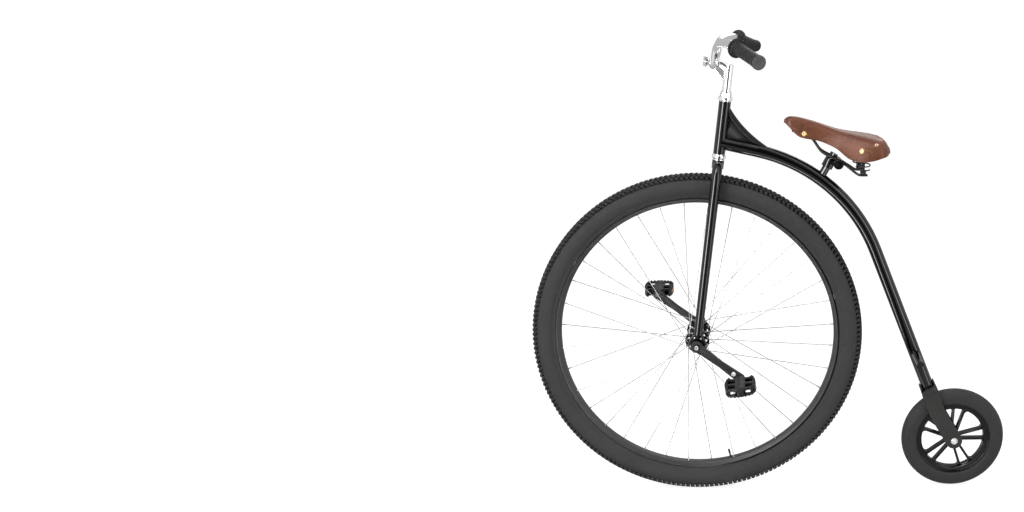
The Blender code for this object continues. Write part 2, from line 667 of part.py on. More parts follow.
def build_headset(axis):
    """The head tube with its pressed cups."""
    tube_shape = ring(HEAD_TUBE_BORE, HEAD_TUBE_RADIUS, HEAD_BOTTOM + FIT, HEAD_TOP - FIT, "Z", 32)
    piece("head_tube", tube_shape, axis, "black_paint")
    bore = STEERER_RADIUS + 4 * FIT
    lip = CUP_HEIGHT / 3
    neck = (CUP_RADIUS + HEAD_TUBE_RADIUS) / 2
    lower = [(bore, LOWER_CUP_BOTTOM), (neck, LOWER_CUP_BOTTOM), (CUP_RADIUS, LOWER_CUP_BOTTOM + lip),
             (CUP_RADIUS, HEAD_BOTTOM - lip), (HEAD_TUBE_RADIUS, HEAD_BOTTOM), (bore, HEAD_BOTTOM)]
    piece("lower_head_cup", turned(lower, "Z", 24), axis, "chrome")
    upper = [(bore, HEAD_TOP), (HEAD_TUBE_RADIUS, HEAD_TOP), (CUP_RADIUS, HEAD_TOP + lip),
             (CUP_RADIUS, LOCKNUT_BOTTOM - lip), (neck, LOCKNUT_BOTTOM), (bore, LOCKNUT_BOTTOM)]
    piece("upper_head_cup", turned(upper, "Z", 24), axis, "chrome")


def build_stem(axis):
    clamp_spot = (-STEM_REACH, 0, QUILL_TOP)
    quill = rod(QUILL_RADIUS, LOCKNUT_BOTTOM - QUILL_INSERTED, QUILL_TOP + STEM_ARM_RADIUS / 2, "Z", 18)
    stem = piece("stem", quill, axis, "chrome")
    clamp_radius = BAR_RADIUS + STEM_CLAMP_WALL
    half = STEM_CLAMP_WIDTH / 2
    arm = tube([(-STEM_REACH, 0, QUILL_TOP), (0.001, 0, QUILL_TOP - 0.001)], STEM_ARM_RADIUS, 4)
    clamp = rod(clamp_radius, -half, half, "Y", 18, clamp_spot)
    ears = block((STEM_EAR_LENGTH + clamp_radius, STEM_CLAMP_WIDTH * 0.7, STEM_EAR_THICKNESS),
                 (-STEM_REACH - (STEM_EAR_LENGTH + clamp_radius) / 2, 0, QUILL_TOP))
    outer = Vector((-STEM_REACH, QUILL_TOP - clamp_radius * 0.7))
    inner = Vector((0, QUILL_TOP - STEM_RIB_DEPTH))
    rib_outline = [(outer.x, outer.y), (inner.x, inner.y), (0, QUILL_TOP)]
    rib = plate(rib_outline, -STEM_RIB_THICKNESS / 2, STEM_RIB_THICKNESS / 2)
    half_strap = Vector((0, STEM_STRAP_THICKNESS / 2))
    strap_outline = [outer - half_strap, inner - half_strap, inner + half_strap, outer + half_strap]
    strap = plate([(p.x, p.y) for p in strap_outline], -STEM_STRAP_WIDTH / 2, STEM_STRAP_WIDTH / 2)
    bolt_spot = (-STEM_REACH - clamp_radius - STEM_EAR_LENGTH / 2, 0, QUILL_TOP)
    bolt = rod(STEM_BOLT_RADIUS, -STEM_BOLT_REACH, STEM_BOLT_REACH, "Z", 12, bolt_spot)
    join(stem, helper("stem_arm", arm, axis), helper("stem_clamp", clamp, axis),
         helper("stem_ears", ears, axis), helper("stem_rib", rib, axis), helper("stem_strap", strap, axis),
         helper("stem_bolt", bolt, axis))
    bore = rod(BAR_RADIUS + FIT, -STEM_CLAMP_WIDTH, STEM_CLAMP_WIDTH, "Y", 24, clamp_spot)
    slot = block((2 * STEM_EAR_LENGTH + BAR_RADIUS, STEM_CLAMP_WIDTH * 1.5, 0.003),
                 (-STEM_REACH - BAR_RADIUS - STEM_EAR_LENGTH, 0, QUILL_TOP))
    cut(stem, helper("clamp_slot", slot, axis), helper("bar_bore", bore, axis))


def build_handlebar(axis):
    direction = Vector((BAR_END_DIRECTION[1], BAR_END_DIRECTION[0], BAR_END_DIRECTION[2])).normalized()
    clamped = STEM_CLAMP_WIDTH / 2 + BAR_STRAIGHT / 3
    half = [Vector((0, 0, 0)), Vector((0, clamped, 0)), Vector((0, clamped + BAR_STRAIGHT, 0))]
    half += [Vector((back, BAR_SPREAD * out, up)) for out, back, up in BAR_ROUTE]
    tip = half[-1] + direction * (GRIP_FLANGE_THICKNESS + GRIP_LENGTH - GRIP_END_THICKNESS - FIT)
    route = smooth_path([Vector((p.x, -p.y, p.z)) for p in reversed(half[1:])] + half, 2)
    left_tip = Vector((tip.x, -tip.y, tip.z))
    clamp_spot = Vector((-STEM_REACH, 0, QUILL_TOP))
    path = [left_tip + clamp_spot] + [p + clamp_spot for p in route] + [tip + clamp_spot]
    piece("handlebar", tube(path, BAR_RADIUS, 3), axis, "chrome")
    for side, name in ((-1, "left"), (1, "right")):
        bore = BAR_RADIUS + FIT
        flange, end = GRIP_FLANGE_THICKNESS, GRIP_LENGTH + GRIP_FLANGE_THICKNESS
        outline = [(bore, 0), (GRIP_FLANGE_RADIUS - 0.002, 0), (GRIP_FLANGE_RADIUS, flange / 2),
                   (GRIP_FLANGE_RADIUS - 0.002, flange), (GRIP_RADIUS, flange + 0.003),
                   (GRIP_RADIUS, end - 1.6 * GRIP_END_THICKNESS), (GRIP_END_RADIUS, end - GRIP_END_THICKNESS),
                   (GRIP_END_RADIUS, end - 0.002), (GRIP_END_RADIUS - 0.002, end), (0, end),
                   (0, end - GRIP_END_THICKNESS + FIT), (bore, end - GRIP_END_THICKNESS + FIT)]
        shape = turned(outline, "Z", 16)
        aim = Vector((direction.x, side * direction.y, direction.z))
        start = Vector((half[-1].x, side * half[-1].y, half[-1].z)) + clamp_spot
        turn = Vector((0, 0, 1)).rotation_difference(aim).to_matrix().to_4x4()
        bmesh.ops.transform(shape, matrix=Matrix.Translation(start) @ turn, verts=shape.verts)
        piece("grip_" + name, shape, axis, "grip_rubber")


def on_head_axis(up):
    """The (x, z) of a point on the steering axis, that far from the front axle."""
    return Vector((up * sin(STEERING_LEAN), up * cos(STEERING_LEAN)))


def bend_centre():
    """The (x, z) of the backbone's centre of bend."""
    slope = BACKBONE_HEAD_SLOPE
    bend_start = on_head_axis(HEAD_BOTTOM + BACKBONE_HEAD_RISE)
    bend_start += BACKBONE_HEAD_STRAIGHT * Vector((cos(slope), -sin(slope)))
    return bend_start - BACKBONE_BEND_RADIUS * Vector((sin(slope), cos(slope)))


def tail_direction():
    return Vector((cos(BACKBONE_TAIL_SLOPE), -sin(BACKBONE_TAIL_SLOPE)))


def backbone_line():
    """The backbone's centre line as (x, z) points, from the head tube to the tail."""
    start = on_head_axis(HEAD_BOTTOM + BACKBONE_HEAD_RISE)
    bend = arc(bend_centre(), BACKBONE_BEND_RADIUS, pi / 2 - BACKBONE_HEAD_SLOPE,
               pi / 2 - BACKBONE_TAIL_SLOPE, BACKBONE_STEPS)
    bend = [Vector(p) for p in bend]
    fall = bend[-1].y - REAR_UP + TAIL_TO_AXLE.y
    tail = bend[-1] + tail_direction() * fall / sin(BACKBONE_TAIL_SLOPE)
    return [start] + bend + [tail]


def rear_axle_spot():
    return backbone_line()[-1] + TAIL_TO_AXLE


def seat_spot():
    """The (x, z) of the saddle clamp's middle, on the post."""
    slope = BACKBONE_HEAD_SLOPE + (SEAT_POST_ALONG - BACKBONE_HEAD_STRAIGHT) / BACKBONE_BEND_RADIUS
    foot = bend_centre() + BACKBONE_BEND_RADIUS * Vector((sin(slope), cos(slope)))
    return foot + SEAT_POST_HEIGHT * Vector((sin(SEAT_POST_LEAN), cos(SEAT_POST_LEAN)))


def build_backbone(axis, head_axis):
    line = backbone_line()
    shape = tube([(x, 0, z) for x, z in line], BACKBONE_RADIUS, 6)
    backbone = piece("backbone", shape, axis, "black_paint")
    clear = rod(HEAD_TUBE_RADIUS + FIT, HEAD_BOTTOM - CUTTER_REACH, HEAD_TOP + CUTTER_REACH, "Z", 32)
    clearing = helper("head_tube_clearance", clear, head_axis)
    cut(backbone, clearing)
    return clearing


def build_gusset(axis, clearing):
    """A web between the head tube and the backbone, with a rounded strip along its free edge."""
    top = on_head_axis(HEAD_BOTTOM + GUSSET_RISE)
    corner = on_head_axis(HEAD_BOTTOM + BACKBONE_HEAD_RISE)
    slope = BACKBONE_HEAD_SLOPE
    foot = corner + GUSSET_RUN * Vector((cos(slope), -sin(slope)))
    lift = Vector((sin(slope), cos(slope)))
    end = foot + lift * (BACKBONE_RADIUS - GUSSET_STRIP_RADIUS)
    start = top + Vector((HEAD_TUBE_RADIUS - GUSSET_STRIP_RADIUS, 0))
    knee = corner + Vector((cos(slope), -sin(slope))) * (HEAD_TUBE_RADIUS + GUSSET_KNEE_RUN)
    knee += lift * (BACKBONE_RADIUS + GUSSET_KNEE_RISE)
    curve = []
    for step in range(13):
        t = step / 12
        curve.append((1 - t) ** 2 * start + 2 * t * (1 - t) * knee + t ** 2 * end)
    strip = tube([(x, 0, z) for x, z in curve], GUSSET_STRIP_RADIUS, 4)
    gusset = piece("head_gusset", strip, axis, "black_paint")
    half = GUSSET_WEB_THICKNESS / 2
    web = plate([(p.x, p.y) for p in curve] + [(corner.x, corner.y)], -half, half)
    join(gusset, helper("gusset_web", web, axis))
    around = tube([(x, 0, z) for x, z in backbone_line()], BACKBONE_RADIUS + FIT, 6)
    cut(gusset, clearing, helper("backbone_clearance", around, axis))


def build_seat_post(axis):
    """A post welded to the backbone, and the clamp that carries the saddle's rails."""
    lean = Vector((sin(SEAT_POST_LEAN), 0, cos(SEAT_POST_LEAN)))
    low = -lean * (SEAT_POST_HEIGHT + 0.75 * BACKBONE_RADIUS)
    post = piece("seat_post", tube([low, lean * SEAT_POST_TOP], SEAT_POST_RADIUS, 4), axis, "black_paint")
    cut(post, bpy.data.objects["backbone_clearance"])
    half_clamp = lean * SEAT_CLAMP_HEIGHT / 2
    shell = tube([-half_clamp, half_clamp], SEAT_POST_RADIUS + SEAT_CLAMP_WALL, 4)
    clamp = piece("seat_clamp", shell, axis, "satin_black")
    inner = RAIL_CLAMPED_OUT - RAIL_RADIUS - 3 * FIT
    outer = RAIL_CLAMPED_OUT + RAIL_RADIUS + 3 * FIT
    half_barrel = [(SEAT_BARREL_RADIUS, inner), (SEAT_BOLT_RADIUS, inner), (SEAT_BOLT_RADIUS, outer),
                   (SEAT_BARREL_RADIUS, outer), (SEAT_BARREL_RADIUS, outer + SEAT_DISC_THICKNESS),
                   (0, outer + SEAT_DISC_THICKNESS)]
    other = [(r, -a) for r, a in reversed(half_barrel)]
    barrel = turned(other + half_barrel, "Y", 16, (SEAT_BARREL_BACK, 0, 0))
    join(clamp, helper("seat_barrel", barrel, axis))
    bore = tube([-3 * half_clamp, 3 * half_clamp], SEAT_POST_RADIUS + FIT, 4)
    cut(clamp, helper("seat_post_bore", bore, axis))


# Saddle leather, from nose to rear: back, top, half width, edge
SADDLE_SECTIONS = [
    (-0.1184, 0.1160, 0.0100, 0.1095),
    (-0.1070, 0.1245, 0.0190, 0.0990),
    (-0.0870, 0.1235, 0.0235, 0.0780),
    (-0.0670, 0.1190, 0.0250, 0.0685),
    (-0.0370, 0.1105, 0.0265, 0.0640),
    (-0.0120, 0.1020, 0.0300, 0.0560),
    (0.0180, 0.0925, 0.0400, 0.0420),
    (0.0480, 0.0860, 0.0570, 0.0190),
    (0.0780, 0.0815, 0.0725, 0.0125),
    (0.1080, 0.0765, 0.0800, 0.0160),
    (0.1330, 0.0695, 0.0780, 0.0230),
    (0.1480, 0.0595, 0.0640, 0.0265),
    (0.1555, 0.0460, 0.0400, 0.0295),
]


def saddle_section(back):
    """The leather's top, half width and edge height at a place along the saddle."""
    for here, there in zip(SADDLE_SECTIONS, SADDLE_SECTIONS[1:]):
        if back <= there[0]:
            break
    share = (back - here[0]) / (there[0] - here[0])
    return [a + (b - a) * share for a, b in zip(here[1:], there[1:])]


def saddle_arch(top, half_width, edge, steps):
    """The leather's section as (across, up) points, from the left edge over the top."""
    points = []
    for step in range(steps + 1):
        angle = pi * step / steps
        across = -cos(angle)
        side = half_width * abs(across) ** 0.75 * (1 if across > 0 else -1)
        points.append((side, edge + (top - edge) * sin(angle) ** 0.62))
    return points


def build_saddle(axis):
    """A leather top, open underneath: a row of arched sections given thickness."""
    shape = bmesh.new()
    rows = []
    for back, top, half_width, edge in SADDLE_SECTIONS:
        arch = saddle_arch(top, half_width, edge, 12)
        rows.append([shape.verts.new((back, side, up)) for side, up in arch])
    for here, there in zip(rows, rows[1:]):
        for a, b, c, d in zip(here, here[1:], there[1:], there):
            shape.faces.new((a, b, c, d))
    shape.faces.new(list(reversed(rows[0])))
    shape.faces.new(rows[-1])
    bmesh.ops.triangulate(shape, faces=[f for f in shape.faces if len(f.verts) > 4])
    saddle = piece("saddle_leather", shape, axis, "leather", radians(60))
    wall = saddle.modifiers.new("leather_thickness", "SOLIDIFY")
    wall.thickness = LEATHER_THICKNESS
    wall.offset = -1
    wall.use_even_offset = False


def build_saddle_carriers(axis):
    """The plate under the leather's rear, on the springs, and the block at the nose, on the rails."""
    back = SPRING_BACK
    top, half_width, edge = saddle_section(back)
    inset = LEATHER_THICKNESS + CANTLE_CLEARANCE
    foot = SPRING_TOP + FIT
    arch = [(side, up) for side, up in saddle_arch(top - inset, half_width - inset, edge, 20) if up > foot]
    shape = plate([(arch[0][0], foot)] + arch + [(arch[-1][0], foot)], 0, CANTLE_THICKNESS)
    bmesh.ops.rotate(shape, cent=(0, 0, 0), matrix=Matrix.Rotation(-pi / 2, 3, "Z"), verts=shape.verts)
    bmesh.ops.translate(shape, vec=(back - CANTLE_THICKNESS / 2, 0, 0), verts=shape.verts)
    piece("saddle_cantle", shape, axis, "satin_black")

    rail_back, rail_up, rail_out = RAIL_ROUTE[0]
    length, width = NOSE_BLOCK_LENGTH, 2 * (rail_out + RAIL_RADIUS)
    low = rail_up - 2 * RAIL_RADIUS
    middle = rail_back - NOSE_BLOCK_GAP - length / 2
    arch = saddle_arch(*saddle_section(middle - length / 2), 40)
    high = min(up for side, up in arch if abs(side) < width / 2) - inset
    nose = block((length, width, high - low), (middle, 0, (high + low) / 2))
    soften(piece("saddle_nose_block", nose, axis, "satin_black"), 0.002)


# One rail, from the nose to the foot of the rear spring: back, up, out
RAIL_ROUTE = [
    (-0.0870, 0.0900, 0.0070),
    (-0.0790, 0.0900, 0.0070),
    (-0.0610, 0.0785, 0.0110),
    (-0.0440, 0.0640, 0.0160),
    (-0.0245, 0.0364, 0.0200),
    (-0.0046, 0.0230, RAIL_CLAMPED_OUT),
    (0.0150, 0.0150, RAIL_CLAMPED_OUT),
    (0.0330, 0.0040, RAIL_CLAMPED_OUT),
    (0.0420, -0.0020, RAIL_CLAMPED_OUT),
    (0.0570, -0.0125, 0.0330),
    (0.0700, -0.0220, 0.0420),
    (0.0760, -0.0250, 0.0440),
    (0.0820, -0.0260, 0.0450),
    (0.0990, -0.0260, 0.0450),
]


def build_saddle_rails(axis):
    """Two rails, each ending under a rear spring: a post with a wire coil round it."""
    for side, name in ((-1, "left"), (1, "right")):
        route = [(back, side * out, up) for back, up, out in RAIL_ROUTE]
        piece("saddle_rail_" + name, tube(route, RAIL_RADIUS, 1), axis, "satin_black")
        up, out = RAIL_ROUTE[-1][1:]
        foot = up + RAIL_RADIUS + FIT
        post = rod(SPRING_POST_RADIUS, foot, SPRING_TOP, "Z", 16, (SPRING_BACK, side * out, 0))
        spring = piece("saddle_spring_" + name, post, axis, "satin_black")
        low, high = foot + COIL_CLEARANCE, SPRING_TOP - COIL_TOP_GAP
        steps = COIL_STEPS * COIL_TURNS
        coil = [(0, 0, low)]
        for step in range(steps + 1):
            angle = 2 * pi * COIL_TURNS * step / steps
            height = low + (high - low) * step / steps
            coil.append((COIL_RADIUS * cos(angle), COIL_RADIUS * sin(angle), height))
        coil.append((0, 0, high))
        wire = tube(coil, COIL_WIRE_RADIUS, 1)
        bmesh.ops.translate(wire, vec=(SPRING_BACK, out, 0), verts=wire.verts)
        join(spring, helper("spring_coil_" + name, side_of(wire, side), axis))


def build_rear_fork(axis):
    """Two bent plates under a crown that closes over their upper ends."""
    axle = rear_axle_spot()
    tail = backbone_line()[-1]
    along = tail_direction()
    top = tail + along * REAR_CROWN_THICKNESS / 2
    knee = axle + (top - axle).normalized() * REAR_PLATE_TURN_UP + Vector((-0.008, -0.002))
    side_ways = Vector((-along.y, along.x))
    upper_end = tail + along * (REAR_BAND_THICKNESS + 2 * FIT)
    half = REAR_PLATE_TOP_HALF_WIDTH
    low_dir = (axle - knee).normalized()
    low_side = Vector((-low_dir.y, low_dir.x))
    heading = atan2(low_side.y, low_side.x)
    end = arc(axle, REAR_PLATE_END_RADIUS, heading, heading - pi, 10)
    mid = (REAR_PLATE_END_RADIUS + half) / 2
    outline = [upper_end - side_ways * half, upper_end + side_ways * half,
               knee + (side_ways + low_side).normalized() * mid]
    outline = [(p.x, p.y) for p in outline] + end
    other = knee - (side_ways + low_side).normalized() * mid
    outline.append((other.x, other.y))
    for side, name in ((-1, "left"), (1, "right")):
        shape = side_of(plate(outline, REAR_PLATE_INSIDE, REAR_PLATE_OUTSIDE), side)
        blade = piece("rear_fork_" + name, shape, axis, "satin_black")
        hole = rod(REAR_AXLE_RADIUS + FIT, REAR_PLATE_INSIDE - CUTTER_REACH, REAR_PLATE_OUTSIDE + CUTTER_REACH,
                   "Y", 16, (axle.x, 0, axle.y))
        cut(blade, helper("rear_axle_hole_" + name, side_of(hole, side), axis))
        soften(blade, 0.0012)
    turn = -(pi / 2 - BACKBONE_TAIL_SLOPE)
    crown_axis = empty("rear_crown_axis", axis, (tail.x, 0, tail.y), turn)
    band_size = (2 * half, 2 * REAR_PLATE_OUTSIDE, REAR_BAND_THICKNESS)
    band = block(band_size, (0, 0, -FIT - REAR_BAND_THICKNESS / 2))
    crown = piece("rear_fork_crown", band, crown_axis, "satin_black")
    width = 2 * (REAR_PLATE_INSIDE - FIT)
    overlap = REAR_CROWN_OVERLAP
    core = block((1.8 * half, width, REAR_CROWN_THICKNESS - overlap),
                 (0, 0, -FIT - (REAR_CROWN_THICKNESS + overlap) / 2))
    join(crown, helper("rear_crown_core", core, crown_axis))
    for end, label in ((-1, "front"), (1, "rear")):
        spot = (end * (BACKBONE_RADIUS + 2 * FIT + REAR_EAR_THICKNESS / 2), 0, (REAR_EAR_HEIGHT - overlap) / 2)
        ear = block((REAR_EAR_THICKNESS, REAR_EAR_WIDTH, REAR_EAR_HEIGHT + overlap), spot)
        join(crown, helper("rear_crown_ear_" + label, ear, crown_axis))
    tip = REAR_PLATE_OUTSIDE + FIT + REAR_BOLT_HEAD
    seat = REAR_PLATE_OUTSIDE + FIT
    half_axle = [(REAR_AXLE_RADIUS, seat), (REAR_BOLT_RADIUS + 0.001, seat), (REAR_BOLT_RADIUS, tip), (0, tip)]
    outline = [(r, -a) for r, a in reversed(half_axle)] + half_axle
    piece("rear_axle", turned(outline, "Y", 20, (axle.x, 0, axle.y)), axis, "chrome")


def build_rear_wheel(axis):
    tyre = tyre_outline(REAR_RADIUS, REAR_TYRE_WIDTH, REAR_TYRE_DEPTH, REAR_BEAD_WIDTH, 6)
    piece("rear_tyre", turned(tyre, "Y", 40), axis, "tyre_rubber")
    bead = REAR_RADIUS - REAR_TYRE_DEPTH
    rim = rim_outline(bead, REAR_RIM_DEPTH, REAR_BEAD_WIDTH, REAR_BEAD_WIDTH * 0.8)
    wheel = piece("rear_wheel_moulding", turned(rim, "Y", 40), axis, "black_plastic")
    hub_half = REAR_PLATE_INSIDE - RUNNING_GAP / 4
    hub = ring(REAR_AXLE_RADIUS + FIT, REAR_HUB_RADIUS, -hub_half, hub_half, "Y", 24)
    reach = bead - REAR_RIM_DEPTH / 2
    spokes = []
    for pair in range(REAR_SPOKE_PAIRS):
        for lean in (-0.5, 0.5):
            rim_angle = REAR_SPOKE_TURN + 2 * pi * pair / REAR_SPOKE_PAIRS + lean * REAR_SPOKE_SPREAD
            hub_angle = REAR_SPOKE_TURN + 2 * pi * pair / REAR_SPOKE_PAIRS + lean * 2.2 * REAR_SPOKE_SPREAD
            start = Vector((cos(hub_angle), sin(hub_angle))) * (REAR_HUB_RADIUS - 0.004)
            end = Vector((cos(rim_angle), sin(rim_angle))) * reach
            way = (end - start).normalized()
            across = Vector((-way.y, way.x)) * REAR_SPOKE_WIDTH / 2
            wide = across + Vector((-way.y, way.x)) * REAR_SPOKE_FLARE
            bend = end - way * REAR_SPOKE_FLARE_LENGTH
            corners = [start - across, bend - across, end - wide, end + wide, bend + across, start + across]
            spokes.append(plate([(p.x, p.y) for p in corners], -REAR_SPOKE_DEPTH / 2, REAR_SPOKE_DEPTH / 2))
    join(wheel, helper("rear_hub", hub, axis))
    for index, spoke in enumerate(spokes):
        join(wheel, helper("rear_spoke_%d" % index, spoke, axis))


def build_step(axis):
    """A tapered peg with a groove along its top that narrows outwards."""
    spot = backbone_line()[-1] - tail_direction() * STEP_UP_TAIL
    step_axis = empty("step_axis", axis, (spot.x, 0, spot.y))
    outline = [(0, -STEP_LENGTH), (STEP_END_RADIUS, -STEP_LENGTH), (STEP_ROOT_RADIUS, 0), (0, 0)]
    peg = piece("step_peg", turned(outline, "Y", 16), step_axis, "satin_black")
    half = STEP_GROOVE_HALF_WIDTH
    groove = slab([(-half, 0), (half, 0), (0.001, -STEP_GROOVE_END), (-0.001, -STEP_GROOVE_END)],
                  0, 2 * STEP_ROOT_RADIUS)
    cut(peg, helper("step_groove", groove, step_axis), bpy.data.objects["backbone_clearance"])


def build_bicycle():
    clear_scene()
    seat = seat_spot()
    rear = rear_axle_spot()
    bicycle = empty("bicycle", None, (-seat.x - RIDER_BACK, 0, -seat.y - RIDER_UP))
    head_axis = empty("head_axis", bicycle, (0, 0, 0), STEERING_LEAN)
    steering_axis = empty("steering_axis", bicycle, (0, 0, 0), STEERING_LEAN)
    front_axis = empty("front_wheel_axis", bicycle)
    rear_axis = empty("rear_wheel_axis", bicycle, (rear.x, 0, rear.y))
    seat_axis = empty("seat_axis", bicycle, (seat.x, 0, seat.y))

    clearing = build_backbone(bicycle, head_axis)
    build_headset(head_axis)
    build_gusset(bicycle, clearing)
    build_seat_post(seat_axis)
    build_saddle(seat_axis)
    build_saddle_rails(seat_axis)
    build_saddle_carriers(seat_axis)
    build_step(bicycle)
    build_rear_fork(bicycle)
    build_rear_wheel(rear_axis)

    build_fork(steering_axis)
    build_stem(steering_axis)
    build_handlebar(steering_axis)
    build_front_wheel(front_axis)
    for side, name in ((-1, "left"), (1, "right")):
        build_bearing_holder(side, steering_axis)
        turn = CRANK_ANGLE + (0 if side < 0 else pi)
        crank_axis = empty("crank_axis_" + name, front_axis, (0, 0, 0), turn)
        spot = (CRANK_LENGTH * cos(turn), 0, -CRANK_LENGTH * sin(turn))
        pedal_axis = empty("pedal_axis_" + name, front_axis, spot, PEDAL_TURN if side < 0 else 0.0)
        build_crank(side, crank_axis, pedal_axis)
        build_pedal(side, pedal_axis)


build_bicycle()
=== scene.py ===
"""Penny farthing bicycle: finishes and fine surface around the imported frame, for Blender 4.5."""
import json
from math import atan2, cos, pi, radians, sin, tan

import bmesh
import bpy
from mathutils import Matrix, Vector

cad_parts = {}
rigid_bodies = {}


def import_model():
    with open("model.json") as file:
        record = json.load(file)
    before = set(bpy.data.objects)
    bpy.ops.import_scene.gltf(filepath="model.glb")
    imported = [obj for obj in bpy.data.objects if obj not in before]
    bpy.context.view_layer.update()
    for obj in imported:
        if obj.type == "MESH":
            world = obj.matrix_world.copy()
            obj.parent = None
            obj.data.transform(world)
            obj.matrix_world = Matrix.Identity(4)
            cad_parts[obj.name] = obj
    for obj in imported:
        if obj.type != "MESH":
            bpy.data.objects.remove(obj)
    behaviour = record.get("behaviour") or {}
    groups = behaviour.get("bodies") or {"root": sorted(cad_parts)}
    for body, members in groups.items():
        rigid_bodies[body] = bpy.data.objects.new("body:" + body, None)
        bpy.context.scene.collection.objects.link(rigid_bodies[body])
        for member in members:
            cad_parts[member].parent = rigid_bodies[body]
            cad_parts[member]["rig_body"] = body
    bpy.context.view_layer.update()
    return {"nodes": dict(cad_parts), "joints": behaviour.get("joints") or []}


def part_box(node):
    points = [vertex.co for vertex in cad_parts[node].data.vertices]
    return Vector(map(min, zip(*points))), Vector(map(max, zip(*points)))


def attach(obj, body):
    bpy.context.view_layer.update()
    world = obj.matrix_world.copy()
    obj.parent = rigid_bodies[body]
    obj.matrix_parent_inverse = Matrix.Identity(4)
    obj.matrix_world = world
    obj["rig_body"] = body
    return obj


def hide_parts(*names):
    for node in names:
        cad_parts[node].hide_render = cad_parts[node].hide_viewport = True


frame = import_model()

NODES = frame["nodes"]
JOINTS = {joint["name"]: joint for joint in frame["joints"]}
AXLE = Vector(JOINTS["front_wheel_spin"]["pos_m"])
REAR = Vector(JOINTS["rear_wheel_spin"]["pos_m"])
LEFT_PEDAL = Vector(JOINTS["left_pedal_spin"]["pos_m"])
RIGHT_PEDAL = Vector(JOINTS["right_pedal_spin"]["pos_m"])
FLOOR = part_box("front_tyre")[0].z
SEAT = Vector((-0.073, 0, -0.082))    # the saddle clamp's middle, on its post

# The photo's camera
CAMERA_SPOT = (-0.2995, -2.7708, 0.3706)
CAMERA_YAW = radians(1.3198)
CAMERA_PITCH = radians(14.693)
CAMERA_ROLL = radians(0.107)
SENSOR = 36.0
LENS = 36.777
SHIFT = (-0.25, 0.0060)

# Front tyre, rim and tread
TYRE_RADIUS = 0.457
TYRE_HALF_WIDTH = 0.029
TREAD_DEPTH = 0.0045
TREAD_BLOCKS = 208
BEAD_RADIUS = 0.3935
RIM_INNER = 0.3780
FIT = 0.0003
VALVE_LENGTH = 0.023

# Spokes and hub
SPOKE_COUNT = 36
SPOKE_RADIUS = 0.0011
SPOKE_SWEEP = radians(58)
SPOKE_CIRCLE = 0.028
FLANGE_MIDDLE = 0.045
SPOKE_STAGGER = 0.0018
SPOKE_RIM_OFFSET = 0.005
NIPPLE_LENGTH = 0.010
NIPPLE_RADIUS = 0.0017
FLANGE_RADIUS = 0.033
FLANGE_THICKNESS = 0.0045
FLANGE_HOLES = 9
FLANGE_HOLE_RADIUS = 0.0042
FLANGE_HOLE_CIRCLE = 0.0222
HUB_SHELL_RADIUS = 0.0165
HUB_END = 0.0615
HUB_BORE = 0.0088

# Cranks and bearing holders: how far out their faces lie, and the holders' bolts (across, up)
CRANK_INSIDE = 0.0925
CRANK_OUTSIDE = 0.1050
HOLDER_OUTSIDE = 0.0865
HOLDER_BOLT_SPOTS = ((-0.0087, 0.0205), (0.0087, 0.0205), (-0.0172, -0.0045), (0.0172, -0.0045))
CRANK_BOLT_FACE = CRANK_OUTSIDE + 0.0033
SPARE_HOLE_INSET = 0.0235     # from the pedal's hole
SPARE_HOLE_RADIUS = 0.0053

# Rear wheel
REAR_BEAD = 0.1045
REAR_RIM_INNER = 0.0900
REAR_PLATE_OUTSIDE = 0.0330

# Headset, handlebar and stem, measured along the steering axis from the front axle
LOWER_CUP = 0.5005
UPPER_CUP = 0.6530
CUP_HEIGHT = 0.0125
HEADSET_BORE = 0.0131
LOCKNUT_TOP = 0.6790
QUILL_FOOT = 0.6160
QUILL_TOP = 0.7490


def feed(tree, node, *sources, **values):
    """Gives a node's inputs, in their order or by name, a socket to follow or a plain value."""
    pairs = list(zip(node.inputs, sources))
    pairs += [(node.inputs[name.replace("_", " ")], value) for name, value in values.items()]
    for socket, value in pairs:
        if isinstance(value, bpy.types.NodeSocket):
            tree.links.new(value, socket)
        else:
            socket.default_value = value


def add(tree, kind, *sources, **values):
    """A node of that kind: values go to the properties it has by that name, or else to its inputs."""
    node = tree.nodes.new(kind)
    for name in [name for name in values if hasattr(node, name)]:
        setattr(node, name, values.pop(name))
    feed(tree, node, *sources, **values)
    return node


def maths(tree, operation, *sources, **values):
    """What one Math node gives."""
    return add(tree, "ShaderNodeMath", *sources, operation=operation, **values).outputs[0]


def new_group(name, takes, gives):
    """An empty shader group with named sockets: name, socket type, default."""
    tree = bpy.data.node_groups.new(name, "ShaderNodeTree")
    for label, kind, value in takes:
        socket = tree.interface.new_socket(label, in_out="INPUT", socket_type=kind)
        if value is not None:
            socket.default_value = value
    for label, kind in gives:
        tree.interface.new_socket(label, in_out="OUTPUT", socket_type=kind)
    return tree, tree.nodes.new("NodeGroupInput"), tree.nodes.new("NodeGroupOutput")


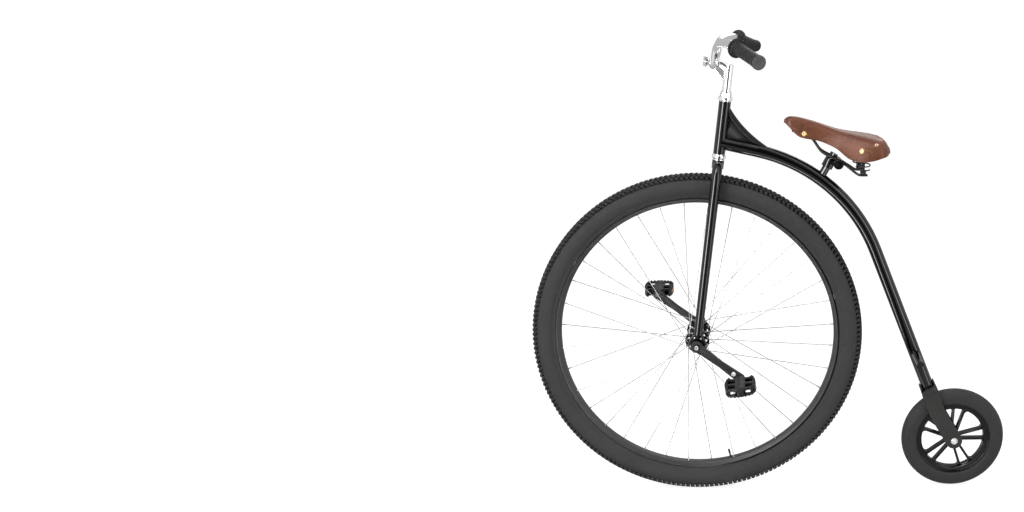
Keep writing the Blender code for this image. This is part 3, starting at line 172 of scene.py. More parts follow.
def tone_group():
    """Broad and fine blotches of a darker and a lighter tone over a base colour."""
    tree, come, go = new_group(
        "uneven_tone",
        [("Base", "NodeSocketColor", None), ("Tint", "NodeSocketColor", None),
         ("Size", "NodeSocketFloat", 8.0), ("Strength", "NodeSocketFloat", 0.3)],
        [("Color", "NodeSocketColor"), ("Mask", "NodeSocketFloat")])
    given = come.outputs
    where = add(tree, "ShaderNodeTexCoord").outputs["Object"]
    smaller = maths(tree, "MULTIPLY", given["Size"], 9.0)
    broad = add(tree, "ShaderNodeTexNoise", Vector=where, Scale=given["Size"], Detail=6.0, Roughness=0.6)
    fine = add(tree, "ShaderNodeTexNoise", Vector=where, Scale=smaller, Detail=3.0, Roughness=0.5)
    both = maths(tree, "MULTIPLY", broad.outputs["Fac"], fine.outputs["Fac"])
    mask = add(tree, "ShaderNodeMapRange", Value=both, From_Min=0.18, From_Max=0.36).outputs["Result"]
    share = maths(tree, "MULTIPLY", mask, given["Strength"])
    mix = add(tree, "ShaderNodeMix", data_type="RGBA", Factor=share, A=given["Base"], B=given["Tint"])
    feed(tree, go, Color=mix.outputs["Result"], Mask=mask)
    return tree


def grain_group():
    """Fine relief, and a roughness that changes with it."""
    tree, come, go = new_group(
        "fine_grain",
        [("Size", "NodeSocketFloat", 900.0), ("Depth", "NodeSocketFloat", 0.0001),
         ("Roughness", "NodeSocketFloat", 0.4), ("Variation", "NodeSocketFloat", 0.1)],
        [("Roughness", "NodeSocketFloat"), ("Normal", "NodeSocketVector")])
    given = come.outputs
    where = add(tree, "ShaderNodeTexCoord").outputs["Object"]
    grain = add(tree, "ShaderNodeTexNoise", Vector=where, Scale=given["Size"], Detail=3.0, Roughness=0.55)
    smudge = add(tree, "ShaderNodeTexNoise", Vector=where, Scale=22.0, Detail=5.0, Roughness=0.6)
    bump = add(tree, "ShaderNodeBump", Height=grain.outputs["Fac"], Distance=given["Depth"], Strength=1.0)
    centred = maths(tree, "SUBTRACT", smudge.outputs["Fac"], 0.5)
    share = maths(tree, "MULTIPLY", centred, given["Variation"])
    roughness = maths(tree, "ADD", share, given["Roughness"], use_clamp=True)
    feed(tree, go, Roughness=roughness, Normal=bump.outputs["Normal"])
    return tree


def wheel_rings_group():
    """Round a wheel's axle: a band between two radii for a dark colour of painted shade, and fine moulding
    rings.
    """
    tree, come, go = new_group(
        "wheel_rings",
        [("Centre", "NodeSocketVector", None), ("Band From", "NodeSocketFloat", 0.4),
         ("Band To", "NodeSocketFloat", 0.5), ("Edge", "NodeSocketFloat", 0.002),
         ("Pitch", "NodeSocketFloat", 0.004)],
        [("Band", "NodeSocketFloat"), ("Height", "NodeSocketFloat")])
    given = come.outputs
    where = add(tree, "ShaderNodeTexCoord").outputs["Object"]
    offset = add(tree, "ShaderNodeVectorMath", where, given["Centre"], operation="SUBTRACT").outputs[0]
    flat = add(tree, "ShaderNodeVectorMath", offset, (1, 0, 1), operation="MULTIPLY").outputs[0]
    radius = add(tree, "ShaderNodeVectorMath", flat, operation="LENGTH").outputs["Value"]
    past_low = maths(tree, "SUBTRACT", radius, given["Band From"])
    before_high = maths(tree, "SUBTRACT", given["Band To"], radius)
    edges = [maths(tree, "DIVIDE", inside, given["Edge"], use_clamp=True)
             for inside in (past_low, before_high)]
    turns = maths(tree, "DIVIDE", radius, given["Pitch"])
    feed(tree, go, Band=maths(tree, "MULTIPLY", *edges), Height=maths(tree, "PINGPONG", turns, 0.5))
    return tree


TONE = tone_group()
GRAIN = grain_group()
WHEEL_RINGS = wheel_rings_group()


def sRGB(levels):
    """A colour read off in 0 to 255 levels, as linear light."""
    linear = [(v / 255 / 12.92) if v < 11 else ((v / 255 + 0.055) / 1.055) ** 2.4 for v in levels]
    return (*linear, 1.0)


def finish(name, base, tint, tone, grain, rings=None, **shader_values):
    """A Principled material whose colour comes from uneven_tone and whose relief comes from fine_grain.

    Colours are read off in 0 to 255 levels. tone is (size, strength); grain is (size, depth, roughness,
    variation); rings is (centre, band from, band to, edge, pitch, depth, band colour) round an axle, where
    the band colour is painted shade between two radii and edge, pitch and depth give moulded rings.
    """
    material = bpy.data.materials.new(name)
    material.use_nodes = True
    tree = material.node_tree
    size, strength = tone
    colour = add(tree, "ShaderNodeGroup", node_tree=TONE, Base=sRGB(base), Tint=sRGB(tint),
                 Size=size, Strength=strength).outputs["Color"]
    size, depth, roughness, variation = grain
    grains = add(tree, "ShaderNodeGroup", node_tree=GRAIN, Size=size, Depth=depth, Roughness=roughness,
                 Variation=variation).outputs
    normal = grains["Normal"]
    if rings:
        centre, low, high, edge, pitch, depth, painted_shade_colour = rings
        lines = add(tree, "ShaderNodeGroup", node_tree=WHEEL_RINGS, Centre=centre, Band_From=low,
                    Band_To=high, Edge=edge, Pitch=pitch).outputs
        relief = add(tree, "ShaderNodeBump", Height=lines["Height"], Normal=normal, Strength=1.0,
                     Distance=depth)
        # The band's dark colour is painted shade: in the tread slots and where tyre and rim meet.
        painted_shade_mix = add(tree, "ShaderNodeMix", data_type="RGBA", Factor=lines["Band"], A=colour,
                     B=sRGB(painted_shade_colour))
        colour, normal = painted_shade_mix.outputs["Result"], relief.outputs["Normal"]
    feed(tree, tree.nodes["Principled BSDF"], Base_Color=colour, Roughness=grains["Roughness"],
         Normal=normal, **shader_values)
    return material


GLOSS_BLACK = finish("gloss_black_paint", (12, 12, 13), (18, 18, 18), (6, 0.5),
                     (700, 0.00001, 0.09, 0.04), Specular_IOR_Level=0.5)
SATIN_BLACK = finish("satin_black_coating", (67, 67, 66), (76, 76, 75), (14, 0.5),
                     (1500, 0.00004, 0.45, 0.15), Specular_IOR_Level=0.15)
HUB_BLACK = finish("hub_black", (24, 24, 25), (34, 34, 34), (30, 0.5),
                   (1500, 0.00003, 0.3, 0.12), Specular_IOR_Level=0.2)
CHROME = finish("polished_chrome", (244, 244, 245), (234, 235, 236), (10, 0.4),
                (500, 0.000005, 0.14, 0.03), Metallic=1.0)
STEEL = finish("bright_zinc", (214, 215, 217), (180, 181, 183), (60, 0.5),
               (1200, 0.00003, 0.28, 0.12), Metallic=1.0)
WEB_BLACK = finish("web_black_paint", (40, 40, 41), (46, 46, 46), (20, 0.5),
                   (700, 0.00002, 0.38, 0.1), Specular_IOR_Level=0.15)
BOLT_STEEL = finish("bolt_zinc", (242, 242, 243), (222, 223, 224), (90, 0.5),
                    (1200, 0.00003, 0.5, 0.12), Metallic=0.35)
COPPER = finish("copper_rivet", (216, 176, 152), (196, 152, 130), (120, 0.4),
                (900, 0.00003, 0.45, 0.08), Metallic=0.4)
DARK_STEEL = finish("dark_zinc", (84, 84, 85), (68, 68, 69), (60, 0.5),
                    (1200, 0.00003, 0.36, 0.12), Metallic=0.7)
SPOKE_STEEL = finish("spoke_steel", (176, 177, 178), (156, 157, 158), (40, 0.4),
                     (1500, 0.00002, 0.40, 0.1), Metallic=0.8)
# The tyre's dark band from 0.4412 to 0.460 is painted shade in the slots between the tread blocks.
TYRE_RUBBER = finish("tyre_rubber", (79, 79, 80), (87, 87, 88), (9, 0.5),
                     (1400, 0.00008, 0.70, 0.15),
                     (AXLE, 0.4412, 0.460, 0.0008, 0.0045, 0.0002, (20, 20, 21)),
                     Specular_IOR_Level=0.12)
TREAD_RUBBER = finish("tread_rubber", (72, 72, 73), (86, 86, 86), (30, 0.6),
                      (1400, 0.00008, 0.74, 0.15), Specular_IOR_Level=0.12)
# The rear tyre's dark band up to 0.1065 is painted shade where it meets the wheel's rim.
REAR_RUBBER = finish("rear_tyre_rubber", (70, 70, 71), (78, 78, 78), (14, 0.5),
                     (1400, 0.00006, 0.62, 0.15),
                     (REAR, 0.0, 0.1065, 0.0015, 0.003, 0.0001, (34, 34, 34)), Specular_IOR_Level=0.15)
# The rim's near-black band from 0.3885 to 0.3960 is painted shade in the crease under the tyre's edge.
RIM_BLACK = finish("rim_anodised", (74, 74, 75), (82, 82, 83), (12, 0.5),
                   (900, 0.00003, 0.36, 0.12),
                   (AXLE, 0.3885, 0.3960, 0.0006, 0.0011, 0.00005, (8, 8, 9)), Specular_IOR_Level=0.25)
GRIP_RUBBER = finish("grip_rubber", (46, 46, 47), (58, 58, 58), (30, 0.5),
                     (1600, 0.00006, 0.56, 0.1), Specular_IOR_Level=0.15)
GRIP_END = finish("grip_end_rubber", (108, 108, 109), (124, 124, 124), (300, 0.6),
                  (1600, 0.0001, 0.6, 0.1), Specular_IOR_Level=0.2)
PLASTIC = finish("black_plastic", (50, 50, 50), (62, 62, 62), (30, 0.5),
                 (1800, 0.00006, 0.5, 0.12), Specular_IOR_Level=0.2)
# Glossy black of the rear wheel's moulding; the pedal cores also take it as painted shade in their windows.
BLACK_MOULDING_AND_PAINTED_SHADE = finish("black_moulding_and_pedal_painted_shade", (12, 12, 12), (18, 18, 18), (20, 0.5),
                       (900, 0.00001, 0.12, 0.05), Specular_IOR_Level=0.25)
AMBER = finish("amber_reflector", (214, 118, 34), (236, 156, 58), (90, 0.6),
               (400, 0.0002, 0.25, 0.05), Specular_IOR_Level=0.3)
LEATHER = finish("brown_leather", (134, 83, 61), (105, 62, 47), (15, 0.75),
                 (1000, 0.00012, 0.42, 0.18), Specular_IOR_Level=0.25, Coat_Weight=0.08, Coat_Roughness=0.3)
BRASS = finish("brass_rivet", (216, 186, 128), (190, 156, 100), (120, 0.4),
               (900, 0.00003, 0.42, 0.08), Metallic=0.85)


# Turns Z into the way out to each side of the bicycle
OUTWARDS = {-1: Matrix.Rotation(pi / 2, 4, "X"), 1: Matrix.Rotation(-pi / 2, 4, "X")}
SIDES = {-1: "left", 1: "right"}


def steering_place():
    """The steering axis: Z up along it from the front axle."""
    axis = Vector(JOINTS["steering_turn"]["axis"])
    return Matrix.Translation(AXLE) @ Matrix.Rotation(atan2(axis.x, axis.z), 4, "Y")


STEERING = steering_place()


def facing(way):
    """Turns Z into that way."""
    return Vector((0, 0, 1)).rotation_difference(way).to_matrix().to_4x4()


def seat(obj, body, material, replaces=()):
    """Hands a finished piece to the frame."""
    obj.data.materials.clear()
    obj.data.materials.append(material)
    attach(obj, body)
    if replaces:
        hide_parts(*replaces)
    return obj


def placed(name, data):
    """An object with that data, in the scene."""
    obj = bpy.data.objects.new(name, data)
    bpy.context.scene.collection.objects.link(obj)
    return obj


def made(name, shape, body, material, replaces=(), smooth_below=radians(38), turn_out=True):
    """A piece from a bmesh, which is used up."""
    if turn_out:
        bmesh.ops.recalc_face_normals(shape, faces=shape.faces)
    mesh = bpy.data.meshes.new(name)
    shape.to_mesh(mesh)
    shape.free()
    mesh.shade_smooth()
    mesh.set_sharp_from_angle(angle=smooth_below)
    return seat(placed(name, mesh), body, material, replaces)


def body_of(node):
    return NODES[node]["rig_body"]


def eased(shape, width, segments=2, sharp=radians(40)):
    """Rounds the sharp edges of a closed shape."""
    edges = [edge for edge in shape.edges if len(edge.link_faces) == 2 and edge.calc_face_angle() > sharp]
    bmesh.ops.bevel(shape, geom=edges, offset=width, offset_type="OFFSET", affect="EDGES",
                    segments=segments, profile=0.5, material=-1, clamp_overlap=True)
    return shape


def smoothed(node, material, edge_width=0.0):
    """A CAD node's own form, shaded round, with its flat faces whole and its edges eased."""
    shape = bmesh.new()
    shape.from_mesh(NODES[node].data)
    bmesh.ops.remove_doubles(shape, verts=shape.verts, dist=0.00002)
    bmesh.ops.dissolve_limit(shape, angle_limit=radians(0.5), verts=shape.verts, edges=shape.edges)
    if edge_width:
        eased(shape, edge_width)
    return made("fine_" + node, shape, body_of(node), material, (node,))


def moved(shape, place):
    bmesh.ops.transform(shape, matrix=place, verts=shape.verts)
    return shape


def raised(profile, by):
    """A (radius, along) outline shifted along its axis."""
    return [(r, along + by) for r, along in profile]


def turned(profile, place, steps):
    """A closed (radius, along) outline turned about Z and set in its place."""
    shape = bmesh.new()
    ring = [shape.verts.new((r, 0, along)) for r, along in profile]
    edges = []
    for here, there in zip(ring, ring[1:] + ring[:1]):
        if here.co.x > 0 or there.co.x > 0:
            edges.append(shape.edges.new((here, there)))
    bmesh.ops.spin(shape, geom=ring + edges, cent=(0, 0, 0), axis=(0, 0, 1), angle=2 * pi,
                   steps=steps, use_merge=True)
    bmesh.ops.remove_doubles(shape, verts=shape.verts, dist=0.000001)
    return moved(shape, place)


def rod(start, end, radius, sides):
    """A straight round bar between two places."""
    start, end = Vector(start), Vector(end)
    shape = bmesh.new()
    place = Matrix.Translation((start + end) / 2) @ facing(end - start)
    bmesh.ops.create_cone(shape, cap_ends=True, segments=sides, radius1=radius, radius2=radius,
                          depth=(end - start).length, matrix=place)
    return shape


def block(size, place, edge_width=0.0):
    shape = bmesh.new()
    bmesh.ops.create_cube(shape, size=1, matrix=Matrix.Diagonal((*size, 1)))
    if edge_width:
        eased(shape, edge_width)
    return moved(shape, place)


def strand(points, radius, sides):
    """A round bar along a path, which doesn't twist, with a flat disc at each end."""
    shape = bmesh.new()
    places = [Vector(p) for p in points]
    last = len(places) - 1
    ways = [(places[min(i + 1, last)] - places[max(i - 1, 0)]).normalized() for i in range(last + 1)]
    turn = Vector((0, 0, 1)).rotation_difference(ways[0])
    before = None
    for index, place in enumerate(places):
        if index:
            turn = ways[index - 1].rotation_difference(ways[index]) @ turn
        ring = bmesh.ops.create_circle(
            shape, cap_ends=index in (0, last), segments=sides, radius=radius,
            matrix=Matrix.Translation(place) @ turn.to_matrix().to_4x4())["verts"]
        edges = list({edge for vert in ring for edge in vert.link_edges})
        if before:
            bmesh.ops.bridge_loops(shape, edges=before + edges)
        before = edges
    return shape


def smooth_path(points, per_span):
    """A smooth curve through the points (Catmull-Rom)."""
    knots = [Vector(p) for p in points]
    knots = [2 * knots[0] - knots[1]] + knots + [2 * knots[-1] - knots[-2]]
    path = []
    for a, b, c, d in zip(knots, knots[1:], knots[2:], knots[3:]):
        for step in range(per_span):
            t = step / per_span
            path.append(0.5 * (2 * b + (c - a) * t + (2 * a - 5 * b + 4 * c - d) * t ** 2
                               + (3 * b - a - 3 * c + d) * t ** 3))
    path.append(knots[-2])
    return path


def circle(radius, steps, centre=(0, 0)):
    """A round (x, y) outline."""
    angles = [2 * pi * step / steps for step in range(steps)]
    return [(centre[0] + radius * cos(a), centre[1] + radius * sin(a)) for a in angles]


def rounded(corners, radii, steps=5):
    """A closed (x, y) outline with an arc at each corner that has a radius."""
    outline = []
    places = [Vector(c) for c in corners]
    for index, (here, radius) in enumerate(zip(places, radii)):
        back = places[index - 1] - here
        on = places[(index + 1) % len(places)] - here
        if not radius:
            outline.append(here)
            continue
        half = back.angle(on) / 2
        radius = min(radius, 0.48 * min(back.length, on.length) * tan(half))
        back.normalize()
        on.normalize()
        centre = here + (back + on).normalized() * radius / sin(half)
        start = here + back * radius / tan(half) - centre
        end = here + on * radius / tan(half) - centre
        bearing = atan2(start.y, start.x)
        sweep = atan2(start.x * end.y - start.y * end.x, start.dot(end))
        for step in range(steps + 1):
            angle = bearing + sweep * step / steps
            outline.append(centre + radius * Vector((cos(angle), sin(angle))))
    return [tuple(p) for p in outline]


def pierced(outline, holes, low, high, chamfer=0.0):
    """A flat (x, y) outline with holes, given thickness along Z, with its edges broken."""
    shape = bmesh.new()
    for loop in [outline] + list(holes):
        ring = [shape.verts.new((x, y, low)) for x, y in loop]
        for pair in zip(ring, ring[1:] + ring[:1]):
            shape.edges.new(pair)
    bmesh.ops.triangle_fill(shape, use_beauty=True, use_dissolve=False, edges=shape.edges[:])
    under = shape.faces[:]
    lifted = bmesh.ops.extrude_face_region(shape, geom=under)["geom"]
    over = [part for part in lifted if isinstance(part, bmesh.types.BMFace)]
    bmesh.ops.translate(shape, vec=(0, 0, high - low),
                        verts=[part for part in lifted if isinstance(part, bmesh.types.BMVert)])
    bmesh.ops.recalc_face_normals(shape, faces=shape.faces)
    if chamfer:
        for cap, way in ((under, chamfer), (over, -chamfer)):
            rim = list({vert for face in cap for vert in face.verts})
            bmesh.ops.inset_region(shape, faces=cap, thickness=chamfer, use_boundary=True,
                                   use_even_offset=True)
            bmesh.ops.translate(shape, vec=(0, 0, way), verts=[vert for vert in rim if vert.is_valid])
    return shape


def together(shapes):
    """Shapes in one bmesh."""
    whole = shapes[0]
    for extra in shapes[1:]:
        mesh = bpy.data.meshes.new("extra")
        extra.to_mesh(mesh)
        whole.from_mesh(mesh)
        extra.free()
        bpy.data.meshes.remove(mesh)
    return whole


def at(x, y, z):
    return Matrix.Translation((x, y, z))


def round_wheel(outline, centre, steps):
    """A (radius, across) outline turned about a wheel's axle."""
    return turned(outline, Matrix.Translation(centre) @ OUTWARDS[1], steps)


def both_ways(half):
    """A half outline from the left edge in, with its mirror image on the right."""
    return half + [(r, -y) for r, y in reversed(half) if abs(y) > 1e-6]


def tyre_half(outer, half_width, bead, bead_half):
    """The casing from the left bead to the crown, as (radius, across)."""
    middle = (outer + bead) / 2
    depth = (outer - bead) / 2
    points = [(bead, -bead_half)]
    for step in range(15):
        angle = radians(-50) + (radians(90) + radians(50)) * step / 14
        points.append((middle + depth * sin(angle), -half_width * cos(angle)))
    return points


def front_tyre():
    half = tyre_half(TYRE_RADIUS - TREAD_DEPTH, TYRE_HALF_WIDTH - 0.0012, BEAD_RADIUS, 0.0168)
    made("front_tyre_casing", round_wheel(both_ways(half), AXLE, 240), "front_wheel",
         TYRE_RUBBER, ("front_tyre",), radians(50))


# Rows of tread blocks: width and share of the pitch, height, middle radius, place across, lean outwards,
# slant in the row, how late in the pitch
TREAD_ROWS = [
    (0.0058, 0.56, 0.0062, 0.4536, 0.0042, 0, 0.0, 0.0),
    (0.0058, 0.56, 0.0062, 0.4536, -0.0042, 0, 0.0, 0.5),
    (0.0056, 0.54, 0.0060, 0.4525, 0.0122, -20, 0.2, 0.25),
    (0.0056, 0.54, 0.0060, 0.4525, -0.0122, 20, -0.2, 0.75),
    (0.0150, 0.50, 0.0058, 0.4449, 0.0198, -48, 0.5, 0.0),
    (0.0150, 0.50, 0.0058, 0.4449, -0.0198, 48, -0.5, 0.5),
]


def front_tread():
    """Staggered rows of blocks from the crown down both shoulders, turned round the axle."""
    step = 2 * pi / TREAD_BLOCKS
    pitch = step * TYRE_RADIUS
    blocks = []
    for width, share, height, radius, out, lean, slant, late in TREAD_ROWS:
        shape = bmesh.new()
        bmesh.ops.create_cube(shape, size=1, matrix=Matrix.Diagonal((height, width, pitch * share, 1)))
        bmesh.ops.scale(shape, vec=(1, 0.85, 0.85), verts=[v for v in shape.verts if v.co.x > 0])
        slanted = Matrix.Identity(4)
        slanted[2][1] = slant
        tilt = Matrix.Rotation(radians(lean), 4, "Z") @ slanted
        moved(shape, Matrix.Rotation(step * late, 4, "Y") @ at(radius, out, 0) @ tilt)
        blocks.append(shape)
    tread = together(blocks)
    bmesh.ops.spin(tread, geom=tread.verts[:] + tread.edges[:] + tread.faces[:], cent=(0, 0, 0),
                   axis=(0, 1, 0), angle=2 * pi - step, steps=TREAD_BLOCKS - 1, use_duplicate=True)
    moved(tread, Matrix.Translation(AXLE))
    made("front_tread_blocks", tread, "front_wheel", TREAD_RUBBER)


def front_rim():
    """A box rim: a hooked edge, a shoulder and a narrower spoke bed."""
    outer = BEAD_RADIUS - FIT
    half = [(outer - 0.004, -0.0130), (outer, -0.0142), (outer, -0.0160), (outer - 0.0012, -0.0169),
            (outer - 0.0050, -0.0169), (outer - 0.0066, -0.0158), (RIM_INNER + 0.0035, -0.0122),
            (RIM_INNER + 0.0010, -0.0098), (RIM_INNER, -0.0070), (RIM_INNER, 0)]
    shape = round_wheel(both_ways(half), AXLE, 240)
    made("front_rim_section", shape, "front_wheel", RIM_BLACK, ("front_rim",), radians(20))

    low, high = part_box("valve_stem")
    middle = (low + high) / 2 - AXLE
    way = middle.normalized()
    near, far = middle.length - VALVE_LENGTH / 2, middle.length + VALVE_LENGTH / 2
    profile = [(0, near), (0.0022, near), (0.0030, near + 0.0006), (0.0030, near + 0.0115),
               (0.0024, near + 0.0120), (0.0024, far - 0.0030), (0.0030, far - 0.0026), (0.0030, far),
               (0, far)]
    made("valve_and_cap", turned(profile, Matrix.Translation(AXLE) @ facing(way), 24), "front_wheel",
         PLASTIC, ("valve_stem",))


def spoke_ends(index, rim_radius):
    """Where a spoke leaves its flange and where it enters the rim, from the axle."""
    side = 1 if index % 2 else -1
    lead = 1 if index % 4 < 2 else -1
    rim_angle = 2 * pi * (index + 0.5) / SPOKE_COUNT
    hub_angle = rim_angle + lead * SPOKE_SWEEP
    out = side * (FLANGE_MIDDLE + lead * SPOKE_STAGGER)
    start = Vector((SPOKE_CIRCLE * cos(hub_angle), out, SPOKE_CIRCLE * sin(hub_angle)))
    end = Vector((rim_radius * cos(rim_angle), side * SPOKE_RIM_OFFSET, rim_radius * sin(rim_angle)))
    return start, end


def front_hub():
    """A black shell between two pierced flanges, with the spokes hooked through them."""
    parts = []
    holes = [circle(FLANGE_HOLE_RADIUS, 20, centre) for centre in circle(FLANGE_HOLE_CIRCLE, FLANGE_HOLES)]
    for side in SIDES:
        flange = pierced(circle(FLANGE_RADIUS, 96), holes + [circle(HUB_BORE, 48)],
                         FLANGE_MIDDLE - FLANGE_THICKNESS / 2, FLANGE_MIDDLE + FLANGE_THICKNESS / 2, 0.0005)
        parts.append(moved(flange, Matrix.Translation(AXLE) @ OUTWARDS[side]))
    half = [(HUB_BORE, -HUB_END), (0.0150, -HUB_END), (HUB_SHELL_RADIUS, -HUB_END + 0.0015),
            (HUB_SHELL_RADIUS, -0.0420), (0.0145, -0.0360), (0.0135, -0.0300), (0.0135, 0)]
    parts.append(round_wheel(both_ways(half), AXLE, 64))
    made("front_hub", together(parts), "front_wheel", HUB_BLACK, ("front_hub_and_spokes",))

    rim_radius = RIM_INNER - 0.0006
    spokes, nipples = [], []
    for index in range(SPOKE_COUNT):
        start, end = spoke_ends(index, rim_radius)
        way = (end - start).normalized()
        side = 1 if start.y > 0 else -1
        inward = 1 if abs(start.y) > FLANGE_MIDDLE else -1
        head_out = FLANGE_MIDDLE - inward * (FLANGE_THICKNESS / 2 + 0.0012)
        head = Vector((start.x, side * head_out, start.z))
        elbow_out = FLANGE_MIDDLE + inward * (FLANGE_THICKNESS / 2 + 0.0006)
        elbow = Vector((start.x, side * elbow_out, start.z))
        spokes.append(rod(elbow + AXLE, end + AXLE, SPOKE_RADIUS, 8))
        spokes.append(rod(head + AXLE, elbow + AXLE, SPOKE_RADIUS * 1.2, 8))
        rim = Vector((0, -side * inward * 0.0010, 0))
        spokes.append(rod(head + AXLE - rim, head + AXLE, 0.0020, 10))
        nipples.append(rod(end - way * NIPPLE_LENGTH + AXLE, end + AXLE, NIPPLE_RADIUS, 8))
    made("front_spokes", together(spokes), "front_wheel", SPOKE_STEEL,
         ("front_hub_and_spokes",))
    made("front_nipples", together(nipples), "front_wheel", SPOKE_STEEL)


def crank_fittings():
    """The axle, its crank bolts, and the small bolts of the bearing holders."""
    smoothed("front_axle", HUB_BLACK, 0.0004)
    for side, name in SIDES.items():
        place = Matrix.Translation(AXLE) @ OUTWARDS[side]
        head = raised([(0, 0), (0.0058, 0), (0.0062, 0.0004), (0.0062, 0.0014), (0.0054, 0.0022),
                       (0.0034, 0.0022), (0.0030, 0.0010), (0, 0.0010)], CRANK_BOLT_FACE)
        made("crank_bolt_" + name, turned(head, place, 32), "front_wheel", STEEL)
        pedal_spot = LEFT_PEDAL if side < 0 else RIGHT_PEDAL
        way = Vector((pedal_spot.x - AXLE.x, 0, pedal_spot.z - AXLE.z))
        hole = AXLE + way * (1 - SPARE_HOLE_INSET / way.length)
        place = Matrix.Translation(hole) @ OUTWARDS[side]
        if side < 0:
            sleeve = [(0.0050, CRANK_INSIDE), (SPARE_HOLE_RADIUS, CRANK_INSIDE),
                      (SPARE_HOLE_RADIUS, CRANK_OUTSIDE + 0.0002), (0.0068, CRANK_OUTSIDE + 0.0002),
                      (0.0066, CRANK_OUTSIDE + 0.0007), (0.0050, CRANK_OUTSIDE + 0.0007)]
            made("spare_hole_sleeve", turned(sleeve, place, 32), "front_wheel", BOLT_STEEL)
        else:
            near, far = CRANK_INSIDE + 0.001, CRANK_OUTSIDE - 0.001
            plug = [(0, near), (SPARE_HOLE_RADIUS, near), (SPARE_HOLE_RADIUS, far), (0, far)]
            made("spare_hole_plug", turned(plug, place, 32), "front_wheel", SATIN_BLACK)
        bolts = []
        for across, up in HOLDER_BOLT_SPOTS:
            place = STEERING @ at(across, 0, up) @ OUTWARDS[side]
            head = [(0, 0), (0.0027, 0), (0.0027, 0.0014), (0.0020, 0.0021), (0.0012, 0.0021),
                    (0.0012, 0.0012), (0, 0.0012)]
            bolts.append(turned(raised(head, HOLDER_OUTSIDE + FIT), place, 16))
        made("holder_bolts_" + name, together(bolts), "steering", STEEL)


# Half of the pedal seen from above, as shares of its half length and of its width from the crank
PEDAL_OUTLINE = [
    (0.25, 0.000),
    (0.29, 0.087),
    (0.45, 0.128),
    (0.63, 0.102),
    (0.76, 0.031),
    (0.88, 0.122),
    (0.965, 0.306),
    (1.00, 0.500),
    (0.965, 0.704),
    (0.857, 0.857),
    (0.69, 0.949),
    (0.357, 0.990),
]
# Its openings: from and to along its half length, from and to across, as shares
PEDAL_WINDOWS = [
    (0.32, 0.80, 0.19, 0.47),
    (0.32, 0.80, 0.57, 0.84),
]
PEDAL_HALF_LENGTH = 0.042
PEDAL_WIDTH = 0.098
PEDAL_INSIDE = 0.1096
PEDAL_HALF_BODY = 0.0102
PEDAL_HALF_THICKNESS = 0.0130
CAGE_INSIDE = 0.0052
CORE_SHARE = 0.965       # of the platform's length, so that the lenses show at its ends
BARREL_RADIUS = 0.0108
TOOTH_PITCH = 0.0098
TOOTH_RADII = (0.0036, 0.0019)
TOOTH_SUNK = 0.001
TEETH_SHARE = 0.93       # how far in from the platform's edge the teeth stand
COVER_SIZE = (0.021, 0.026, 0.0246)
# Half of the pedal's core between the two cages: open at its outer end beside the barrel
PEDAL_CORE = PEDAL_OUTLINE[:10] + [
    (0.66, 0.925),
    (0.66, 0.570),
    (0.34, 0.570),
    (0.34, 0.990),
]


# The amber lens round each curved end, as shares of the same sizes
REFLECTOR_OUTLINE = [
    (0.900, 0.160),
    (0.965, 0.306),
    (1.000, 0.500),
    (0.965, 0.704),
    (0.900, 0.704),
]


def evenly(outline, pitch):
    """Places every pitch along an open outline, with its direction there."""
    spots = []
    travelled, due = 0.0, pitch / 2
    for here, there in zip(outline, outline[1:]):
        here, there = Vector(here), Vector(there)
        length = (there - here).length
        while due <= travelled + length:
            spots.append((here + (there - here) * (due - travelled) / length, (there - here) / length))
            due += pitch
        travelled += length
    return spots


